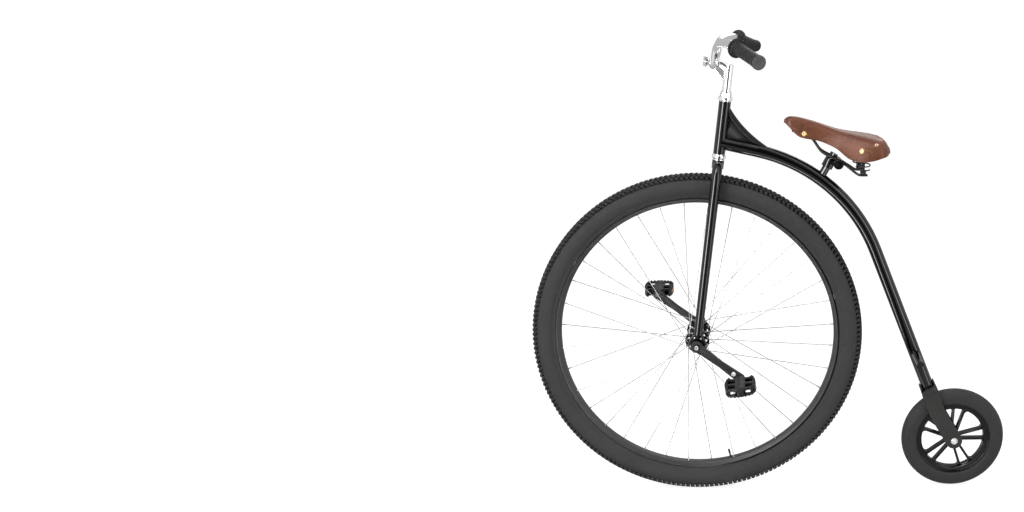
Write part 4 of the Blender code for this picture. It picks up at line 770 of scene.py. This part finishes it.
def pedal(side, centre, turn):
    """A platform with windows round a barrel, and gripping teeth along both faces of its cage."""
    name = SIDES[side]
    half, start = PEDAL_HALF_LENGTH, PEDAL_INSIDE
    rear = [(along * half, start + across * PEDAL_WIDTH) for along, across in PEDAL_OUTLINE]
    outline = rear + [(0, start + PEDAL_WIDTH)] + [(-x, y) for x, y in reversed(rear)]
    windows = []
    for end in (-1, 1):
        for low, high, near, far in PEDAL_WINDOWS:
            corners = [(low, near), (high, near), (high, far), (low, far)]
            corners = [(end * half * along, start + across * PEDAL_WIDTH) for along, across in corners]
            windows.append(rounded(corners, [0.0035] * 4, 3))
    parts = [pierced(outline, windows, CAGE_INSIDE, PEDAL_HALF_BODY, 0.0008),
             pierced(outline, windows, -PEDAL_HALF_BODY, -CAGE_INSIDE, 0.0008)]
    core = [(CORE_SHARE * along * half, start + across * PEDAL_WIDTH) for along, across in PEDAL_CORE]
    core += [(-x, y) for x, y in reversed(core)]
    core = pierced(core, [windows[0], windows[2]], -CAGE_INSIDE - FIT, CAGE_INSIDE + FIT)
    inner, outer = start + PEDAL_WIDTH * 0.02, start + PEDAL_WIDTH * 0.985
    parts.append(rod((0, inner, 0), (0, outer, 0), BARREL_RADIUS, 32))
    middle = start + PEDAL_WIDTH / 2
    cage = [(x * TEETH_SHARE, middle + (y - middle) * TEETH_SHARE) for x, y in outline[4:-4]]
    for spot, way in evenly(cage, TOOTH_PITCH):
        for up in (-1, 1):
            tooth = bmesh.new()
            bmesh.ops.create_cone(tooth, cap_ends=True, segments=4, radius1=TOOTH_RADII[0],
                                  radius2=TOOTH_RADII[1],
                                  depth=PEDAL_HALF_THICKNESS - PEDAL_HALF_BODY + TOOTH_SUNK)
            angle = atan2(way.y, way.x) + pi / 4
            lift = (PEDAL_HALF_THICKNESS + PEDAL_HALF_BODY - TOOTH_SUNK) / 2
            place = at(spot.x, spot.y, up * lift) @ Matrix.Rotation(angle, 4, "Z")
            if up < 0:
                place = place @ Matrix.Rotation(pi, 4, "X")
            parts.append(moved(tooth, place))
    parts.append(block(COVER_SIZE, at(0, start + PEDAL_WIDTH - 0.0135, 0), 0.003))
    shape = together(parts)
    place = Matrix.Translation((centre.x, 0, centre.z)) @ Matrix.Rotation(turn, 4, "Y")
    if side < 0:
        place = place @ Matrix.Diagonal((1, -1, 1, 1))
    made("pedal_%s_platform" % name, moved(shape, place), "pedal_" + name, PLASTIC,
         ("pedal_" + name,))
    # The core's darker finish is painted shade, seen through the pedal's windows.
    made("pedal_%s_core" % name, moved(core, place), "pedal_" + name, BLACK_MOULDING_AND_PAINTED_SHADE)
    for end, label in ((-1, "front"), (1, "rear")):
        lens = [(end * along * half, start + across * PEDAL_WIDTH) for along, across in REFLECTOR_OUTLINE]
        lens = moved(pierced(lens, [], -CAGE_INSIDE, CAGE_INSIDE, 0.0004), place)
        made("amber_lens_%s_%s" % (name, label), lens, "pedal_" + name, AMBER,
             ("pedal_%s_reflector_%s" % (name, label),))


# Saddle leather, from nose to rear: back, top, half width, edge; measured from the clamp
SADDLE_SECTIONS = [
    (-0.1184, 0.1185, 0.0115, 0.1080),
    (-0.1070, 0.1245, 0.0190, 0.0965),
    (-0.0870, 0.1235, 0.0235, 0.0765),
    (-0.0670, 0.1190, 0.0250, 0.0685),
    (-0.0370, 0.1105, 0.0265, 0.0640),
    (-0.0120, 0.1020, 0.0300, 0.0560),
    (0.0180, 0.0925, 0.0400, 0.0420),
    (0.0480, 0.0860, 0.0570, 0.0190),
    (0.0780, 0.0815, 0.0725, 0.0125),
    (0.1080, 0.0765, 0.0800, 0.0160),
    (0.1330, 0.0695, 0.0780, 0.0230),
    (0.1480, 0.0595, 0.0640, 0.0265),
    (0.1555, 0.0460, 0.0400, 0.0295),
]
LEATHER_THICKNESS = 0.0042
SADDLE_NOSE_DEPTH = 0.003
SADDLE_REAR_DEPTH = 0.006
# Rivets on the left side, brass ones and behind them copper ones: back, share over the arch, radius
RIVETS = [
    (-0.0686, 0.0325, 0.0062),
    (0.0796, 0.0800, 0.0064),
    (0.1180, 0.1925, 0.0052),
    (0.1326, 0.3525, 0.0052),
]
COPPER_FROM = 0.1


def saddle_rows():
    """Finer sections, with both ends drawn in to a rounded edge."""
    rows = smooth_path([Vector(row) for row in SADDLE_SECTIONS], 5)
    ends = []
    for row, depth in ((rows[0], -SADDLE_NOSE_DEPTH), (rows[-1], SADDLE_REAR_DEPTH)):
        back, top, half, edge = row
        closing = []
        for step in range(1, 6):
            angle = pi / 2 * step / 5
            closing.append(Vector((back + depth * sin(angle), edge + (top - edge) * cos(angle),
                                   half * cos(angle), edge)))
        ends.append(closing)
    return ends[0][::-1] + rows + ends[1]


def over_saddle(row, share):
    """A place on the leather: share 0 is the left edge, 1 the right."""
    back, top, half, edge = row
    angle = pi * share
    across = -cos(angle)
    side = half * abs(across) ** 0.75 * (1 if across > 0 else -1)
    return SEAT + Vector((back, side, edge + (top - edge) * max(sin(angle), 0) ** 0.62))


def row_at(rows, back):
    for here, there in zip(rows, rows[1:]):
        if here[0] <= back <= there[0]:
            return here + (there - here) * (back - here[0]) / (there[0] - here[0])


def saddle():
    rows = saddle_rows()
    across = 48
    shape = bmesh.new()
    bmesh.ops.create_grid(shape, x_segments=len(rows) - 1, y_segments=across, size=1)
    for vert in shape.verts:
        row = rows[round((vert.co.x + 1) / 2 * (len(rows) - 1))]
        vert.co = over_saddle(row, (vert.co.y + 1) / 2)
    bmesh.ops.remove_doubles(shape, verts=shape.verts, dist=0.00001)
    bmesh.ops.recalc_face_normals(shape, faces=shape.faces)
    if max(shape.faces, key=lambda face: face.calc_center_median().z).normal.z < 0:
        bmesh.ops.reverse_faces(shape, faces=shape.faces)
    top = made("saddle_top", shape, "frame", LEATHER, ("saddle_leather",), radians(60), False)
    wall = top.modifiers.new("leather_wall", "SOLIDIFY")
    wall.thickness = LEATHER_THICKNESS
    wall.offset = -1
    wall.use_even_offset = False
    lip = top.modifiers.new("leather_lip", "BEVEL")
    lip.width = 0.0012
    lip.segments = 2
    lip.limit_method = "ANGLE"
    lip.angle_limit = radians(50)

    rivets = {"brass": [], "copper": []}
    for back, share, radius in RIVETS:
        for way in (share, 1 - share):
            here = over_saddle(row_at(rows, back), way)
            along = over_saddle(row_at(rows, back + 0.002), way) - here
            over = over_saddle(row_at(rows, back), way + 0.01) - here
            normal = over.cross(along).normalized()
            if normal.dot(here - SEAT - Vector((back, 0, 0.02))) < 0:
                normal = -normal
            head = [(0, -0.0015), (radius, -0.0015), (radius, 0.0004), (radius * 0.85, 0.0010),
                    (radius * 0.55, 0.0013), (radius * 0.40, 0.0008), (0, 0.0007)]
            kind = "brass" if back < COPPER_FROM else "copper"
            rivets[kind].append(turned(head, Matrix.Translation(here) @ facing(normal), 24))
    made("saddle_rivets", together(rivets["brass"]), "frame", BRASS)
    made("rear_rivets", together(rivets["copper"]), "frame", COPPER)


# One rail, from the nose to the foot of the rear spring: back, up, out
RAIL_ROUTE = [
    (-0.0870, 0.0900, 0.0070),
    (-0.0790, 0.0900, 0.0070),
    (-0.0610, 0.0785, 0.0110),
    (-0.0440, 0.0640, 0.0160),
    (-0.0245, 0.0364, 0.0200),
    (-0.0046, 0.0230, 0.0220),
    (0.0150, 0.0150, 0.0220),
    (0.0330, 0.0040, 0.0220),
    (0.0420, -0.0020, 0.0220),
    (0.0570, -0.0125, 0.0330),
    (0.0700, -0.0220, 0.0420),
    (0.0760, -0.0250, 0.0440),
    (0.0820, -0.0260, 0.0450),
    (0.0990, -0.0260, 0.0450),
]
RAIL_RADIUS = 0.0034
SPRING_BACK = 0.0870
SPRING_OUT = 0.0450
SPRING_FOOT = -0.0222
SPRING_TOP = 0.0210
COIL_RADIUS = 0.0180
COIL_WIRE_RADIUS = 0.0018
COIL_TURNS = 2
COIL_TILT = 0.26


def saddle_springs():
    for side, name in SIDES.items():
        route = [SEAT + Vector((back, side * out, up)) for back, up, out in RAIL_ROUTE]
        made("rail_" + name, strand(smooth_path(route, 3), RAIL_RADIUS, 14), "frame",
             SATIN_BLACK, ("saddle_rail_" + name,))
        low, high = SPRING_FOOT + 0.0085, SPRING_TOP - 0.0045
        post = [(0, SPRING_FOOT), (0.0078, SPRING_FOOT), (0.0080, SPRING_FOOT + 0.0010),
                (0.0080, SPRING_FOOT + 0.0070), (0.0060, SPRING_FOOT + 0.0076),
                (0.0045, SPRING_FOOT + 0.0110), (0.0045, 0.0080), (0.0078, 0.0095), (0.0078, SPRING_TOP),
                (0, SPRING_TOP)]
        centre = SEAT + Vector((SPRING_BACK, side * SPRING_OUT, 0))
        coil = [Vector((0, 0, low)), Vector((COIL_RADIUS * 0.7, 0, low))]
        steps = 28 * COIL_TURNS
        for step in range(2, steps - 1):
            angle = 2 * pi * COIL_TURNS * step / steps
            height = low + 0.005 + (high - low - 0.010) * step / steps
            tilt = COIL_TILT * COIL_RADIUS * sin(angle)
            coil.append(Vector((COIL_RADIUS * cos(angle), COIL_RADIUS * sin(angle), height - tilt)))
        coil += [Vector((COIL_RADIUS * 0.7, 0, high)), Vector((0, 0, high))]
        wire = strand(coil, COIL_WIRE_RADIUS, 10)
        if side < 0:
            moved(wire, Matrix.Diagonal((1, -1, 1, 1)))
        moved(wire, Matrix.Translation(centre))
        spring = together([turned(post, Matrix.Translation(centre), 32), wire])
        made("coil_spring_" + name, spring, "frame", SATIN_BLACK, ("saddle_spring_" + name,))


CLAMP_FACE = 0.0336


def seat_clamp():
    """The clamp, the plates that carry the leather, and a nut on a round washer at each side."""
    smoothed("seat_clamp", GLOSS_BLACK, 0.0007)
    smoothed("saddle_cantle", SATIN_BLACK, 0.0006)
    smoothed("saddle_nose_block", SATIN_BLACK)
    nuts = []
    for side in SIDES:
        place = Matrix.Translation(SEAT) @ at(0.0225, 0, 0) @ OUTWARDS[side]
        ring = [(0.0070, 0), (0.0125, 0), (0.0125, 0.0010), (0.0116, 0.0018), (0.0070, 0.0018)]
        nuts.append(turned(raised(ring, CLAMP_FACE), place, 40))
        nut = pierced(circle(0.0062, 6), [circle(0.0030, 20)], CLAMP_FACE, CLAMP_FACE + 0.0042, 0.0004)
        nuts.append(moved(nut, place))
        bolt = [(0, 0), (0.0029, 0), (0.0029, 0.0056), (0.0024, 0.0062), (0, 0.0062)]
        nuts.append(turned(raised(bolt, CLAMP_FACE), place, 24))
    made("seat_clamp_nuts", together(nuts), "frame", HUB_BLACK)


# Half of the bar outside its straight middle: out from the middle, back, up
BAR_ROUTE = [
    (0.0250, 0.0000, 0.0000),
    (0.0550, 0.0026, 0.0210),
    (0.0850, 0.0050, 0.0440),
    (0.1200, 0.0126, 0.0560),
    (0.1600, 0.0240, 0.0605),
    (0.2050, 0.0390, 0.0612),
    (0.2500, 0.0535, 0.0580),
]
BAR_END_DIRECTION = Vector((0.0568, 0.115, -0.0215)).normalized()
BAR_RADIUS = 0.0111
STEM_REACH = 0.0400
GRIP_LENGTH = 0.128
GRIP_RADIUS = 0.0157


def handlebar():
    clamp = Vector((-STEM_REACH, 0, QUILL_TOP))
    half = [Vector((0, 0, 0)), Vector((0, 0.0193, 0))]
    half += [Vector((back, out, up)) for out, back, up in BAR_ROUTE]
    tip = half[-1] + BAR_END_DIRECTION * (GRIP_LENGTH - 0.0073)
    route = smooth_path([Vector((p.x, -p.y, p.z)) for p in reversed(half[1:])] + half, 6)
    path = [Vector((tip.x, -tip.y, tip.z))] + route + [tip]
    made("bar", moved(strand([p + clamp for p in path], BAR_RADIUS, 32), STEERING), "steering",
         CHROME, ("handlebar",), radians(60))
    end = GRIP_LENGTH - FIT - 0.0003
    profile = [(0.0114, 0), (0.0221, 0), (0.0233, 0.0006), (0.0239, 0.0022), (0.0239, 0.0038),
               (0.0233, 0.0054), (0.0222, 0.0062), (0.0190, 0.0068), (0.0166, 0.0088),
               (GRIP_RADIUS, 0.0120), (0.0154, 0.0600), (GRIP_RADIUS, end - 0.0125),
               (0.0161, end - 0.0098), (0.0169, end - 0.0084), (0.0172, end - 0.0070),
               (0.0172, end - 0.0012), (0, end - 0.0012), (0, end - 0.0067),
               (0.0114, end - 0.0067)]
    disc = [(0, end - 0.0011), (0.0172, end - 0.0011), (0.0166, end), (0.0050, end), (0.0038, end - 0.0009),
            (0, end - 0.0009)]
    for side, name in SIDES.items():
        aim = Vector((BAR_END_DIRECTION.x, side * BAR_END_DIRECTION.y, BAR_END_DIRECTION.z))
        start = clamp + Vector((half[-1].x, side * half[-1].y, half[-1].z))
        place = STEERING @ Matrix.Translation(start) @ facing(aim)
        made("rubber_grip_" + name, turned(profile, place, 64), "steering", GRIP_RUBBER,
             ("grip_" + name,))
        made("grip_end_" + name, turned(disc, place, 64), "steering", GRIP_END)


def stem():
    """A quill with a forward arm, a split clamp on the bar, a ribbed brace below and a clamp bolt."""
    clamp = at(-STEM_REACH, 0, QUILL_TOP)
    cap = QUILL_TOP - 0.0060
    quill = [(0, QUILL_FOOT), (0.0111, QUILL_FOOT), (0.0111, cap), (0.0124, cap + 0.0008),
             (0.0124, cap + 0.0040), (0.0108, cap + 0.0056), (0.0045, cap + 0.0060),
             (0.0045, cap + 0.0035), (0, cap + 0.0035)]
    parts = [turned(quill, STEERING, 48)]
    arm = strand([(-STEM_REACH + 0.0125, 0, QUILL_TOP), (-0.0190, 0, QUILL_TOP - 0.0010),
                  (-0.0100, 0, QUILL_TOP - 0.0050), (-0.0030, 0, QUILL_TOP - 0.0110)], 0.0105, 32)
    parts.append(moved(arm, STEERING))
    collar = [(BAR_RADIUS + FIT, -0.0170), (0.0146, -0.0170), (0.0156, -0.0160), (0.0156, 0.0160),
              (0.0146, 0.0170), (BAR_RADIUS + FIT, 0.0170)]
    parts.append(turned(collar, STEERING @ clamp @ OUTWARDS[1], 48))
    for up in (-1, 1):
        place = STEERING @ at(-STEM_REACH - 0.0215, 0, QUILL_TOP + up * 0.0043)
        parts.append(block((0.0190, 0.0238, 0.0052), place, 0.0010))
    bolt_place = STEERING @ at(-STEM_REACH - 0.0235, 0, QUILL_TOP)
    for low, high in ((0.0070, 0.0128), (-0.0120, -0.0070)):
        nut = pierced(circle(0.0060, 6), [circle(0.0026, 16)], low, high, 0.0005)
        parts.append(moved(nut, bolt_place))
    shank = [(0, -0.0140), (0.0022, -0.0140), (0.0028, -0.0134), (0.0028, 0.0110), (0, 0.0110)]
    parts.append(turned(shank, bolt_place, 20))
    outer = Vector((-STEM_REACH, QUILL_TOP - 0.0109))
    inner = Vector((-0.0030, QUILL_TOP - 0.0450))
    web = pierced([tuple(outer), tuple(inner), (-0.0030, QUILL_TOP)], [], -0.0028, 0.0028, 0.0006)
    parts.append(moved(web, STEERING @ OUTWARDS[-1]))
    way = (inner - outer).normalized()
    brace = block(((inner - outer).length, 0.0140, 0.0040), Matrix.Identity(4), 0.0012)
    middle = (inner + outer) / 2
    tilt = Matrix.Rotation(-atan2(way.y, way.x), 4, "Y")
    parts.append(moved(brace, STEERING @ at(middle.x, 0, middle.y) @ tilt))
    made("stem_and_clamp", together(parts), "steering", CHROME, ("stem",))


def headset():
    """Cups, race and a faceted locknut, finely turned."""
    race = [(HEADSET_BORE, -0.0044), (0.0150, -0.0044), (0.0158, -0.0036), (0.0158, -0.0010),
            (0.0150, -0.0003), (HEADSET_BORE, -0.0003)]
    race = raised(race, LOWER_CUP)
    made("crown_race_ring", turned(race, STEERING, 64), "steering", CHROME, ("crown_race",))
    cup = [(0.0139, 0), (0.0165, 0), (0.0178, 0.0012), (0.0188, 0.0040), (0.0188, 0.0070),
           (0.0180, 0.0090), (0.0166, 0.0105), (0.0159, CUP_HEIGHT), (0.0139, CUP_HEIGHT)]
    for name, shape in (("lower_head_cup", raised(cup, LOWER_CUP)),
                        ("upper_head_cup", [(r, UPPER_CUP + CUP_HEIGHT - up) for r, up in cup])):
        made(name + "_turned", turned(shape, STEERING, 64), "frame", CHROME, (name,))
    low, high = UPPER_CUP + CUP_HEIGHT + FIT, LOCKNUT_TOP - FIT
    nut = pierced(circle(0.0150, 8), [circle(HEADSET_BORE, 48)], low, low + 0.0090, 0.0005)
    cap = [(HEADSET_BORE, low + 0.0090), (0.0142, low + 0.0090), (0.0144, low + 0.0104),
           (0.0138, high), (HEADSET_BORE, high)]
    made("faceted_locknut", together([moved(nut, STEERING), turned(cap, STEERING, 64)]),
         "steering", CHROME, ("headset_locknut",))


def rear_tyre():
    """A smooth tyre with a rounded crown and a moulded ring low on its wall."""
    half = [(REAR_BEAD, -0.0166), (REAR_BEAD + 0.0030, -0.0186), (0.1110, -0.0198), (0.1116, -0.0203),
            (0.1128, -0.0204), (0.1136, -0.0200)]
    for step in range(12):
        angle = radians(-8) + radians(98) * step / 11
        half.append((0.1240 + 0.02249 * sin(angle), -0.0208 * cos(angle) ** 0.9 if step < 11 else 0))
    made("rear_tyre_turned", round_wheel(both_ways(half), REAR, 160), "rear_wheel",
         REAR_RUBBER, ("rear_tyre",), radians(30))


REAR_SPOKE_PAIRS = 5
REAR_SPOKE_HALF_WIDTH = 0.0034
REAR_SPOKE_SPREAD = radians(20)
REAR_SPOKE_TURN = radians(8)
REAR_HUB_RADIUS = 0.0200
REAR_BORE = 0.0083
REAR_AXLE_HALF = 0.016
# Shares of a wide window's arc at which its outer edge has corners
REAR_ARC_SHARES = (0.28, 0.36, 0.44, 0.5, 0.56, 0.64, 0.72)


def spoke_edge(angle, lean, side, radius):
    """The (x, z) where one edge of a moulded spoke lies that far from the axle."""
    hub_angle = angle + lean * 2.2 * REAR_SPOKE_SPREAD
    rim_angle = angle + lean * REAR_SPOKE_SPREAD
    hub = Vector((cos(hub_angle), sin(hub_angle))) * (REAR_HUB_RADIUS - 0.004)
    rim = Vector((cos(rim_angle), sin(rim_angle))) * (REAR_BEAD - 0.00725)
    way = (rim - hub).normalized()
    base = hub + Vector((-way.y, way.x)) * REAR_SPOKE_HALF_WIDTH * side
    along = -base.dot(way) + (base.dot(way) ** 2 - base.length_squared + radius ** 2) ** 0.5
    return base + way * along


def rear_wheel():
    """A moulded wheel: a stepped rim, a hub and a web whose windows leave five pairs of spokes."""
    half = [(REAR_RIM_INNER, 0), (REAR_RIM_INNER, -0.0115), (0.0912, -0.0128), (0.0945, -0.0134),
            (0.0988, -0.0140), (0.0994, -0.0152), (0.1010, -0.0164), (REAR_BEAD - FIT, -0.0168),
            (REAR_BEAD - FIT, 0)]
    parts = [round_wheel(both_ways(half), REAR, 160)]
    hub = [(REAR_BORE, -0.0255), (0.0180, -0.0255), (0.0196, -0.0240), (REAR_HUB_RADIUS, -0.0220),
           (REAR_HUB_RADIUS, 0)]
    parts.append(round_wheel(both_ways(hub), REAR, 64))
    windows = []
    low, high = REAR_HUB_RADIUS + 0.0015, REAR_RIM_INNER - 0.0008
    for pair in range(REAR_SPOKE_PAIRS):
        angle = REAR_SPOKE_TURN + 2 * pi * pair / REAR_SPOKE_PAIRS
        after = angle + 2 * pi / REAR_SPOKE_PAIRS
        narrow = [spoke_edge(angle, -0.5, 1, low), spoke_edge(angle, -0.5, 1, high),
                  spoke_edge(angle, 0.5, -1, high), spoke_edge(angle, 0.5, -1, low)]
        windows.append(rounded(narrow, [0.0012, 0.0030, 0.0030, 0.0012]))
        wide = [spoke_edge(angle, 0.5, 1, low), spoke_edge(angle, 0.5, 1, high)]
        first, last = [atan2(p.y, p.x) for p in (wide[1], spoke_edge(after, -0.5, -1, high))]
        last += 2 * pi * (last < first)
        for share in REAR_ARC_SHARES:
            bearing = first + (last - first) * share
            wide.append(Vector((cos(bearing), sin(bearing))) * high)
        wide += [spoke_edge(after, -0.5, -1, high), spoke_edge(after, -0.5, -1, low)]
        radii = [0.0030, 0.0120] + [0] * len(REAR_ARC_SHARES) + [0.0120, 0.0030]
        windows.append(rounded(wide, radii, 7))
    web = pierced(circle(REAR_BEAD - 0.004, 160), windows + [circle(REAR_BORE, 32)], -0.0080, 0.0080,
                  0.0010)
    parts.append(moved(web, Matrix.Translation(REAR) @ OUTWARDS[-1]))
    made("rear_wheel_web", together(parts), "rear_wheel", BLACK_MOULDING_AND_PAINTED_SHADE,
         ("rear_wheel_moulding",), radians(30))

    bolts = []
    for side in SIDES:
        place = Matrix.Translation(REAR) @ OUTWARDS[side]
        head = raised([(0, -0.020), (0.0079, -0.020), (0.0079, 0), (0.0098, 0), (0.0098, 0.0012),
                       (0.0088, 0.0016), (0.0086, 0.0030), (0.0074, 0.0048), (0.0052, 0.0058),
                       (0.0040, 0.0058), (0.0036, 0.0030), (0, 0.0030)], REAR_PLATE_OUTSIDE + FIT)
        bolts.append(turned(head, place, 48))
    reach = Vector((0, REAR_AXLE_HALF, 0))
    bolts.append(rod(REAR - reach, REAR + reach, 0.0078, 32))
    made("rear_axle_bolts", together(bolts), "frame", BOLT_STEEL, ("rear_axle",))


def dressed_nodes():
    """CAD forms that are right as they are: finish, how far edges are eased, names, names of both sides."""
    finishes = [
        (GLOSS_BLACK, 0, ["backbone", "head_tube", "seat_post", "step_peg", "fork_crown"], ["fork_blade_"]),
        (GLOSS_BLACK, 0.0006, [], ["bearing_holder_", "bearing_cap_"]),
        (WEB_BLACK, 0, ["head_gusset"], []),
        (SATIN_BLACK, 0.0007, ["rear_fork_crown"], ["rear_fork_", "crank_"]),
        (DARK_STEEL, 0.0004, [], ["pedal_axle_"]),
    ]
    for material, edge_width, single, paired in finishes:
        for name in single + [start + side for start in paired for side in SIDES.values()]:
            smoothed(name, material, edge_width)


def camera():
    data = bpy.data.cameras.new("camera")
    data.sensor_width = SENSOR
    data.lens = LENS
    data.shift_x, data.shift_y = SHIFT
    data.clip_end = 1000
    obj = placed("camera", data)
    obj.matrix_world = (Matrix.Translation(CAMERA_SPOT) @ Matrix.Rotation(-CAMERA_YAW, 4, "Z")
                        @ Matrix.Rotation(pi / 2 - CAMERA_PITCH, 4, "X")
                        @ Matrix.Rotation(CAMERA_ROLL, 4, "Z"))
    bpy.context.scene.camera = obj


LAMP_TARGET = Vector((-0.1, 0, -0.4))


def strip_lamp(name, azimuth, height, distance, size, power):
    """A soft lamp aimed at the middle of the bicycle; azimuth 0 is at the camera."""
    data = bpy.data.lights.new(name, "AREA")
    data.shape = "RECTANGLE"
    data.size, data.size_y = size
    data.energy = power
    obj = placed(name, data)
    angle = radians(azimuth)
    obj.location = LAMP_TARGET + Vector((sin(angle) * distance, -cos(angle) * distance, height))
    obj.rotation_mode = "QUATERNION"
    obj.rotation_quaternion = (LAMP_TARGET - obj.location).to_track_quat("-Z", "Y")


# What polished surfaces see at each bearing, 0 towards the camera: a dark gap amid a dimmer front,
# a dimmer back and two bright strips (azimuth, half width, brightness)
GAP_AZIMUTH = radians(10)
GAP_HALF_WIDTH = radians(9)
GAP_LEVEL = 0.03
SHOULDER_AZIMUTH = radians(8)
SHOULDER_HALF_WIDTH = radians(40)
SHOULDER_LEVEL = 0.6
OPEN_LEVEL = 0.85
BEHIND_FROM = radians(128)
BEHIND_LEVEL = 0.6
STRIPS = ((radians(-37), radians(4.5), 13.0), (radians(52), radians(3), 3.0))
SOFT_EDGE = radians(4)
SURROUND_LEVEL = 0.38


def studio_bands_group():
    """How bright polished surfaces find the studio in each direction."""
    tree, come, go = new_group("studio_bands", [("Vector", "NodeSocketVector", None)],
                               [("Level", "NodeSocketFloat")])
    parts = add(tree, "ShaderNodeSeparateXYZ", come.outputs["Vector"]).outputs
    bearing = maths(tree, "ARCTAN2", parts["X"], maths(tree, "MULTIPLY", parts["Y"], -1))

    def band(azimuth, half_width, inside, outside):
        away = maths(tree, "ABSOLUTE", maths(tree, "SUBTRACT", bearing, azimuth))
        return add(tree, "ShaderNodeMapRange", Value=away, From_Min=half_width,
                   From_Max=half_width + SOFT_EDGE, To_Min=inside, To_Max=outside).outputs["Result"]

    level = band(SHOULDER_AZIMUTH, SHOULDER_HALF_WIDTH, SHOULDER_LEVEL, OPEN_LEVEL)
    gap = band(GAP_AZIMUTH, GAP_HALF_WIDTH, GAP_LEVEL, 1.0)
    behind = band(0, BEHIND_FROM, 1.0, BEHIND_LEVEL)
    for share in (gap, behind):
        level = maths(tree, "MULTIPLY", level, share)
    for azimuth, half_width, brightness in STRIPS:
        level = maths(tree, "ADD", level, band(azimuth, half_width, brightness, 0.0))
    feed(tree, go, Level=level)
    return tree


def studio(bands):
    """Soft lamps and a white surround; polished surfaces see the studio's bands instead."""
    strip_lamp("left_softbox", -40, 0.9, 3.2, (0.8, 2.4), 22)
    strip_lamp("right_softbox", 47, 0.7, 3.4, (0.8, 2.4), 12)
    strip_lamp("top_softbox", -20, 3.4, 1.6, (2.0, 1.6), 32)
    strip_lamp("back_softbox", 170, 2.2, 3.0, (2.0, 1.5), 25)
    world = bpy.data.worlds.new("studio")
    bpy.context.scene.world = world
    world.use_nodes = True
    tree = world.node_tree
    tree.nodes.clear()
    path = add(tree, "ShaderNodeLightPath").outputs
    seen = maths(tree, "MAXIMUM", path["Is Camera Ray"], path["Is Transmission Ray"])
    plain = add(tree, "ShaderNodeMapRange", Value=seen, To_Min=SURROUND_LEVEL, To_Max=1.0)
    where = add(tree, "ShaderNodeTexCoord").outputs["Generated"]
    level = add(tree, "ShaderNodeGroup", node_tree=bands, Vector=where).outputs["Level"]
    shown = add(tree, "ShaderNodeMix", data_type="FLOAT", Factor=path["Is Glossy Ray"],
                A=plain.outputs["Result"], B=level)
    light = add(tree, "ShaderNodeBackground", Color=(1, 1, 1, 1), Strength=shown.outputs["Result"])
    add(tree, "ShaderNodeOutputWorld", Surface=light.outputs[0])


FLOOR_HALF = 400
FLOOR_GLOW = 0.84
FLOOR_COLOUR = (0.50, 0.50, 0.50, 1)
BANDS_CENTRE = (-0.3, 0, 0)


def floor(bands):
    """A pale floor that goes to white for the camera, keeps the shadow and carries the bands on."""
    shape = bmesh.new()
    bmesh.ops.create_grid(shape, x_segments=1, y_segments=1, size=FLOOR_HALF, matrix=at(0, 0, FLOOR))
    mesh = bpy.data.meshes.new("floor")
    shape.to_mesh(mesh)
    shape.free()
    obj = placed("floor", mesh)
    material = bpy.data.materials.new("pale_floor")
    material.use_nodes = True
    tree = material.node_tree
    path = add(tree, "ShaderNodeLightPath").outputs
    where = add(tree, "ShaderNodeTexCoord").outputs["Object"]
    offset = add(tree, "ShaderNodeVectorMath", where, BANDS_CENTRE, operation="SUBTRACT").outputs[0]
    level = add(tree, "ShaderNodeGroup", node_tree=bands, Vector=offset).outputs["Level"]
    glow = maths(tree, "MULTIPLY", path["Is Camera Ray"], FLOOR_GLOW)
    glossy = path["Is Glossy Ray"]
    emitted = add(tree, "ShaderNodeMix", data_type="FLOAT", Factor=glossy, A=glow, B=level)
    colour = add(tree, "ShaderNodeMix", data_type="RGBA", Factor=glossy, A=FLOOR_COLOUR, B=(0, 0, 0, 1))
    feed(tree, tree.nodes["Principled BSDF"], Base_Color=colour.outputs["Result"], Roughness=0.9,
         Specular_IOR_Level=0.0, Emission_Color=(1, 1, 1, 1), Emission_Strength=emitted.outputs["Result"])
    mesh.materials.append(material)


camera()
BANDS = studio_bands_group()
studio(BANDS)
floor(BANDS)
dressed_nodes()
front_tyre()
front_tread()
front_rim()
front_hub()
crank_fittings()
pedal(-1, LEFT_PEDAL, radians(-8))
pedal(1, RIGHT_PEDAL, 0)
saddle()
saddle_springs()
seat_clamp()
handlebar()
stem()
headset()
rear_tyre()
rear_wheel()

bpy.context.scene.view_settings.view_transform = "Standard"
